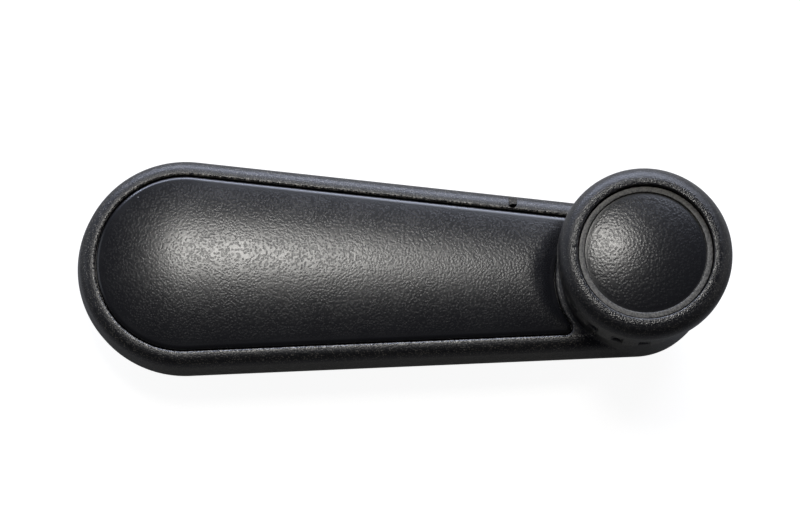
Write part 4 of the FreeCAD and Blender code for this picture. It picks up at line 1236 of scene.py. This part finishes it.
# Each panel's name, place, width, height, watts and tint
PANELS = (
    ("key_panel", (-0.01, 0.155, 0.60), 0.11, 0.11, 1.35, (1.0, 0.98, 0.94)),
    ("window_panel", (-0.12, 0.70, 0.30), 0.7, 0.09, 6.0, (0.74, 0.80, 1.0)),
    ("sky_panel", (0.24, 0.52, 0.42), 0.45, 0.30, 3.5, (0.80, 0.85, 1.0)),
    ("left_panel", (-0.6, 0.1, 0.3), 0.4, 0.3, 0.5, (0.85, 0.90, 1.0)),
    ("right_panel", (0.75, 0.0, 0.35), 0.3, 0.3, 0.3, (1.0, 0.98, 0.95)),
)


def paper_material():
    """Paper that looks white from above, is clear from below and still takes the shadow."""
    finish = Finish("paper", sizes("studio").paper, 0.9)
    camera, glossy, through = [finish.node("ShaderNodeLightPath", output="Is %s Ray" % kind)
                               for kind in ("Camera", "Glossy", "Transmission")]
    glow = finish.axis("Y").ramp(-0.02, 0.12) * (FAR_GLOW - NEAR_GLOW) + NEAR_GLOW
    white = (camera * SEEN).apply("MAXIMUM", glossy.apply("MAXIMUM", through) * glow)
    finish.set("Emission Color", finish.mix(white, (0.0, 0.0, 0.0), (1.0, 1.0, 1.0)))
    finish.set("Emission Strength", 1.0)
    below = finish.node("ShaderNodeNewGeometry", output="Backfacing")
    paper = Maths(finish, finish.shader.outputs[0])
    clear = finish.node("ShaderNodeBsdfTransparent")
    both = finish.node("ShaderNodeMixShader", {0: below, 1: paper, 2: clear})
    finish.links.new(both.socket, finish.nodes["Material Output"].inputs["Surface"])
    return finish.material


def add_panel(name, place, width, height, watts, tint):
    """A soft light panel, aimed at the arm's middle."""
    light = bpy.data.lights.new(name, "AREA")
    light.shape = "RECTANGLE"
    light.size = width
    light.size_y = height
    light.energy = watts
    light.color = tint
    panel = bpy.data.objects.new(name, light)
    panel.location = place
    panel.rotation_mode = "QUATERNION"
    panel.rotation_quaternion = (Vector(ARM_MIDDLE) - Vector(place)).to_track_quat("-Z", "Y")
    bpy.context.scene.collection.objects.link(panel)


def add_paper():
    """A wide round sheet with a low upright rim."""
    deselect()
    bpy.ops.mesh.primitive_circle_add(vertices=128, radius=3.0, fill_type="NGON", enter_editmode=True)
    floor = bpy.context.object
    floor.name = "paper_floor"
    bpy.ops.mesh.select_mode(type="EDGE")
    select_all()
    bpy.ops.mesh.region_to_loop()
    run(UP * 0.4)
    bpy.ops.object.mode_set(mode="OBJECT")
    floor.data.materials.append(paper_material())


def add_camera(studio):
    lens = bpy.data.cameras.new("camera")
    lens.lens = studio.lens
    lens.clip_start = 0.01
    camera = bpy.data.objects.new("camera", lens)
    look = (Matrix.Rotation(studio.roll, 3, "Z") @ Matrix.Rotation(studio.yaw, 3, "Y")
            @ Matrix.Rotation(studio.tilt, 3, "X")).transposed()
    target = Vector((ARM_MIDDLE[0], 0, sizes("arm").rim_z))
    stand = target + look @ Vector((-studio.aim_x, -studio.aim_y, studio.distance))
    camera.matrix_world = Matrix.Translation(stand) @ look.to_4x4()
    bpy.context.scene.collection.objects.link(camera)
    bpy.context.scene.camera = camera


class WINDER_OT_stage(bpy.types.Operator):
    """Set up the paper, the soft lights, the world and the camera"""
    bl_idname = "winder.stage"
    bl_label = "Stage"

    def execute(self, context):
        add_paper()
        for panel in PANELS:
            add_panel(*panel)
        world = bpy.data.worlds.new("studio_air")
        context.scene.world = world
        world.use_nodes = True
        air = world.node_tree.nodes["Background"]
        air.inputs["Color"].default_value = (0.035, 0.037, 0.045, 1)
        air.inputs["Strength"].default_value = 1.0
        add_camera(sizes("studio"))
        context.scene.view_settings.view_transform = "Standard"
        return {"FINISHED"}


class WINDER_PT_panel(bpy.types.Panel):
    """Builds the pieces of the handle one by one"""
    bl_idname = "WINDER_PT_panel"
    bl_label = "Window winder"
    bl_space_type = "VIEW_3D"
    bl_region_type = "UI"
    bl_category = "Winder"

    def draw(self, context):
        for operator in OPERATORS:
            self.layout.operator(operator.bl_idname)


GROUPS = {"arm": WinderArmSizes, "cover": WinderCoverSizes, "grip": WinderGripSizes,
          "cap": WinderCapSizes, "finish": WinderFinish, "studio": WinderStudio}
OPERATORS = (WINDER_OT_stage, WINDER_OT_arm, WINDER_OT_cover, WINDER_OT_grip, WINDER_OT_cap,
             WINDER_OT_hardware)


def register():
    for name, group in GROUPS.items():
        bpy.utils.register_class(group)
        setattr(bpy.types.Scene, "winder_" + name, PointerProperty(type=group))
    for operator in OPERATORS:
        bpy.utils.register_class(operator)
    bpy.utils.register_class(WINDER_PT_panel)


def unregister():
    bpy.utils.unregister_class(WINDER_PT_panel)
    for operator in reversed(OPERATORS):
        bpy.utils.unregister_class(operator)
    for name, group in GROUPS.items():
        delattr(bpy.types.Scene, "winder_" + name)
        bpy.utils.unregister_class(group)


def main():
    register()
    bpy.ops.winder.stage()
    bpy.ops.winder.arm()
    bpy.ops.winder.cover()
    bpy.ops.winder.grip()
    bpy.ops.winder.cap()
    bpy.ops.winder.hardware()


if __name__ == "__main__":
    main()
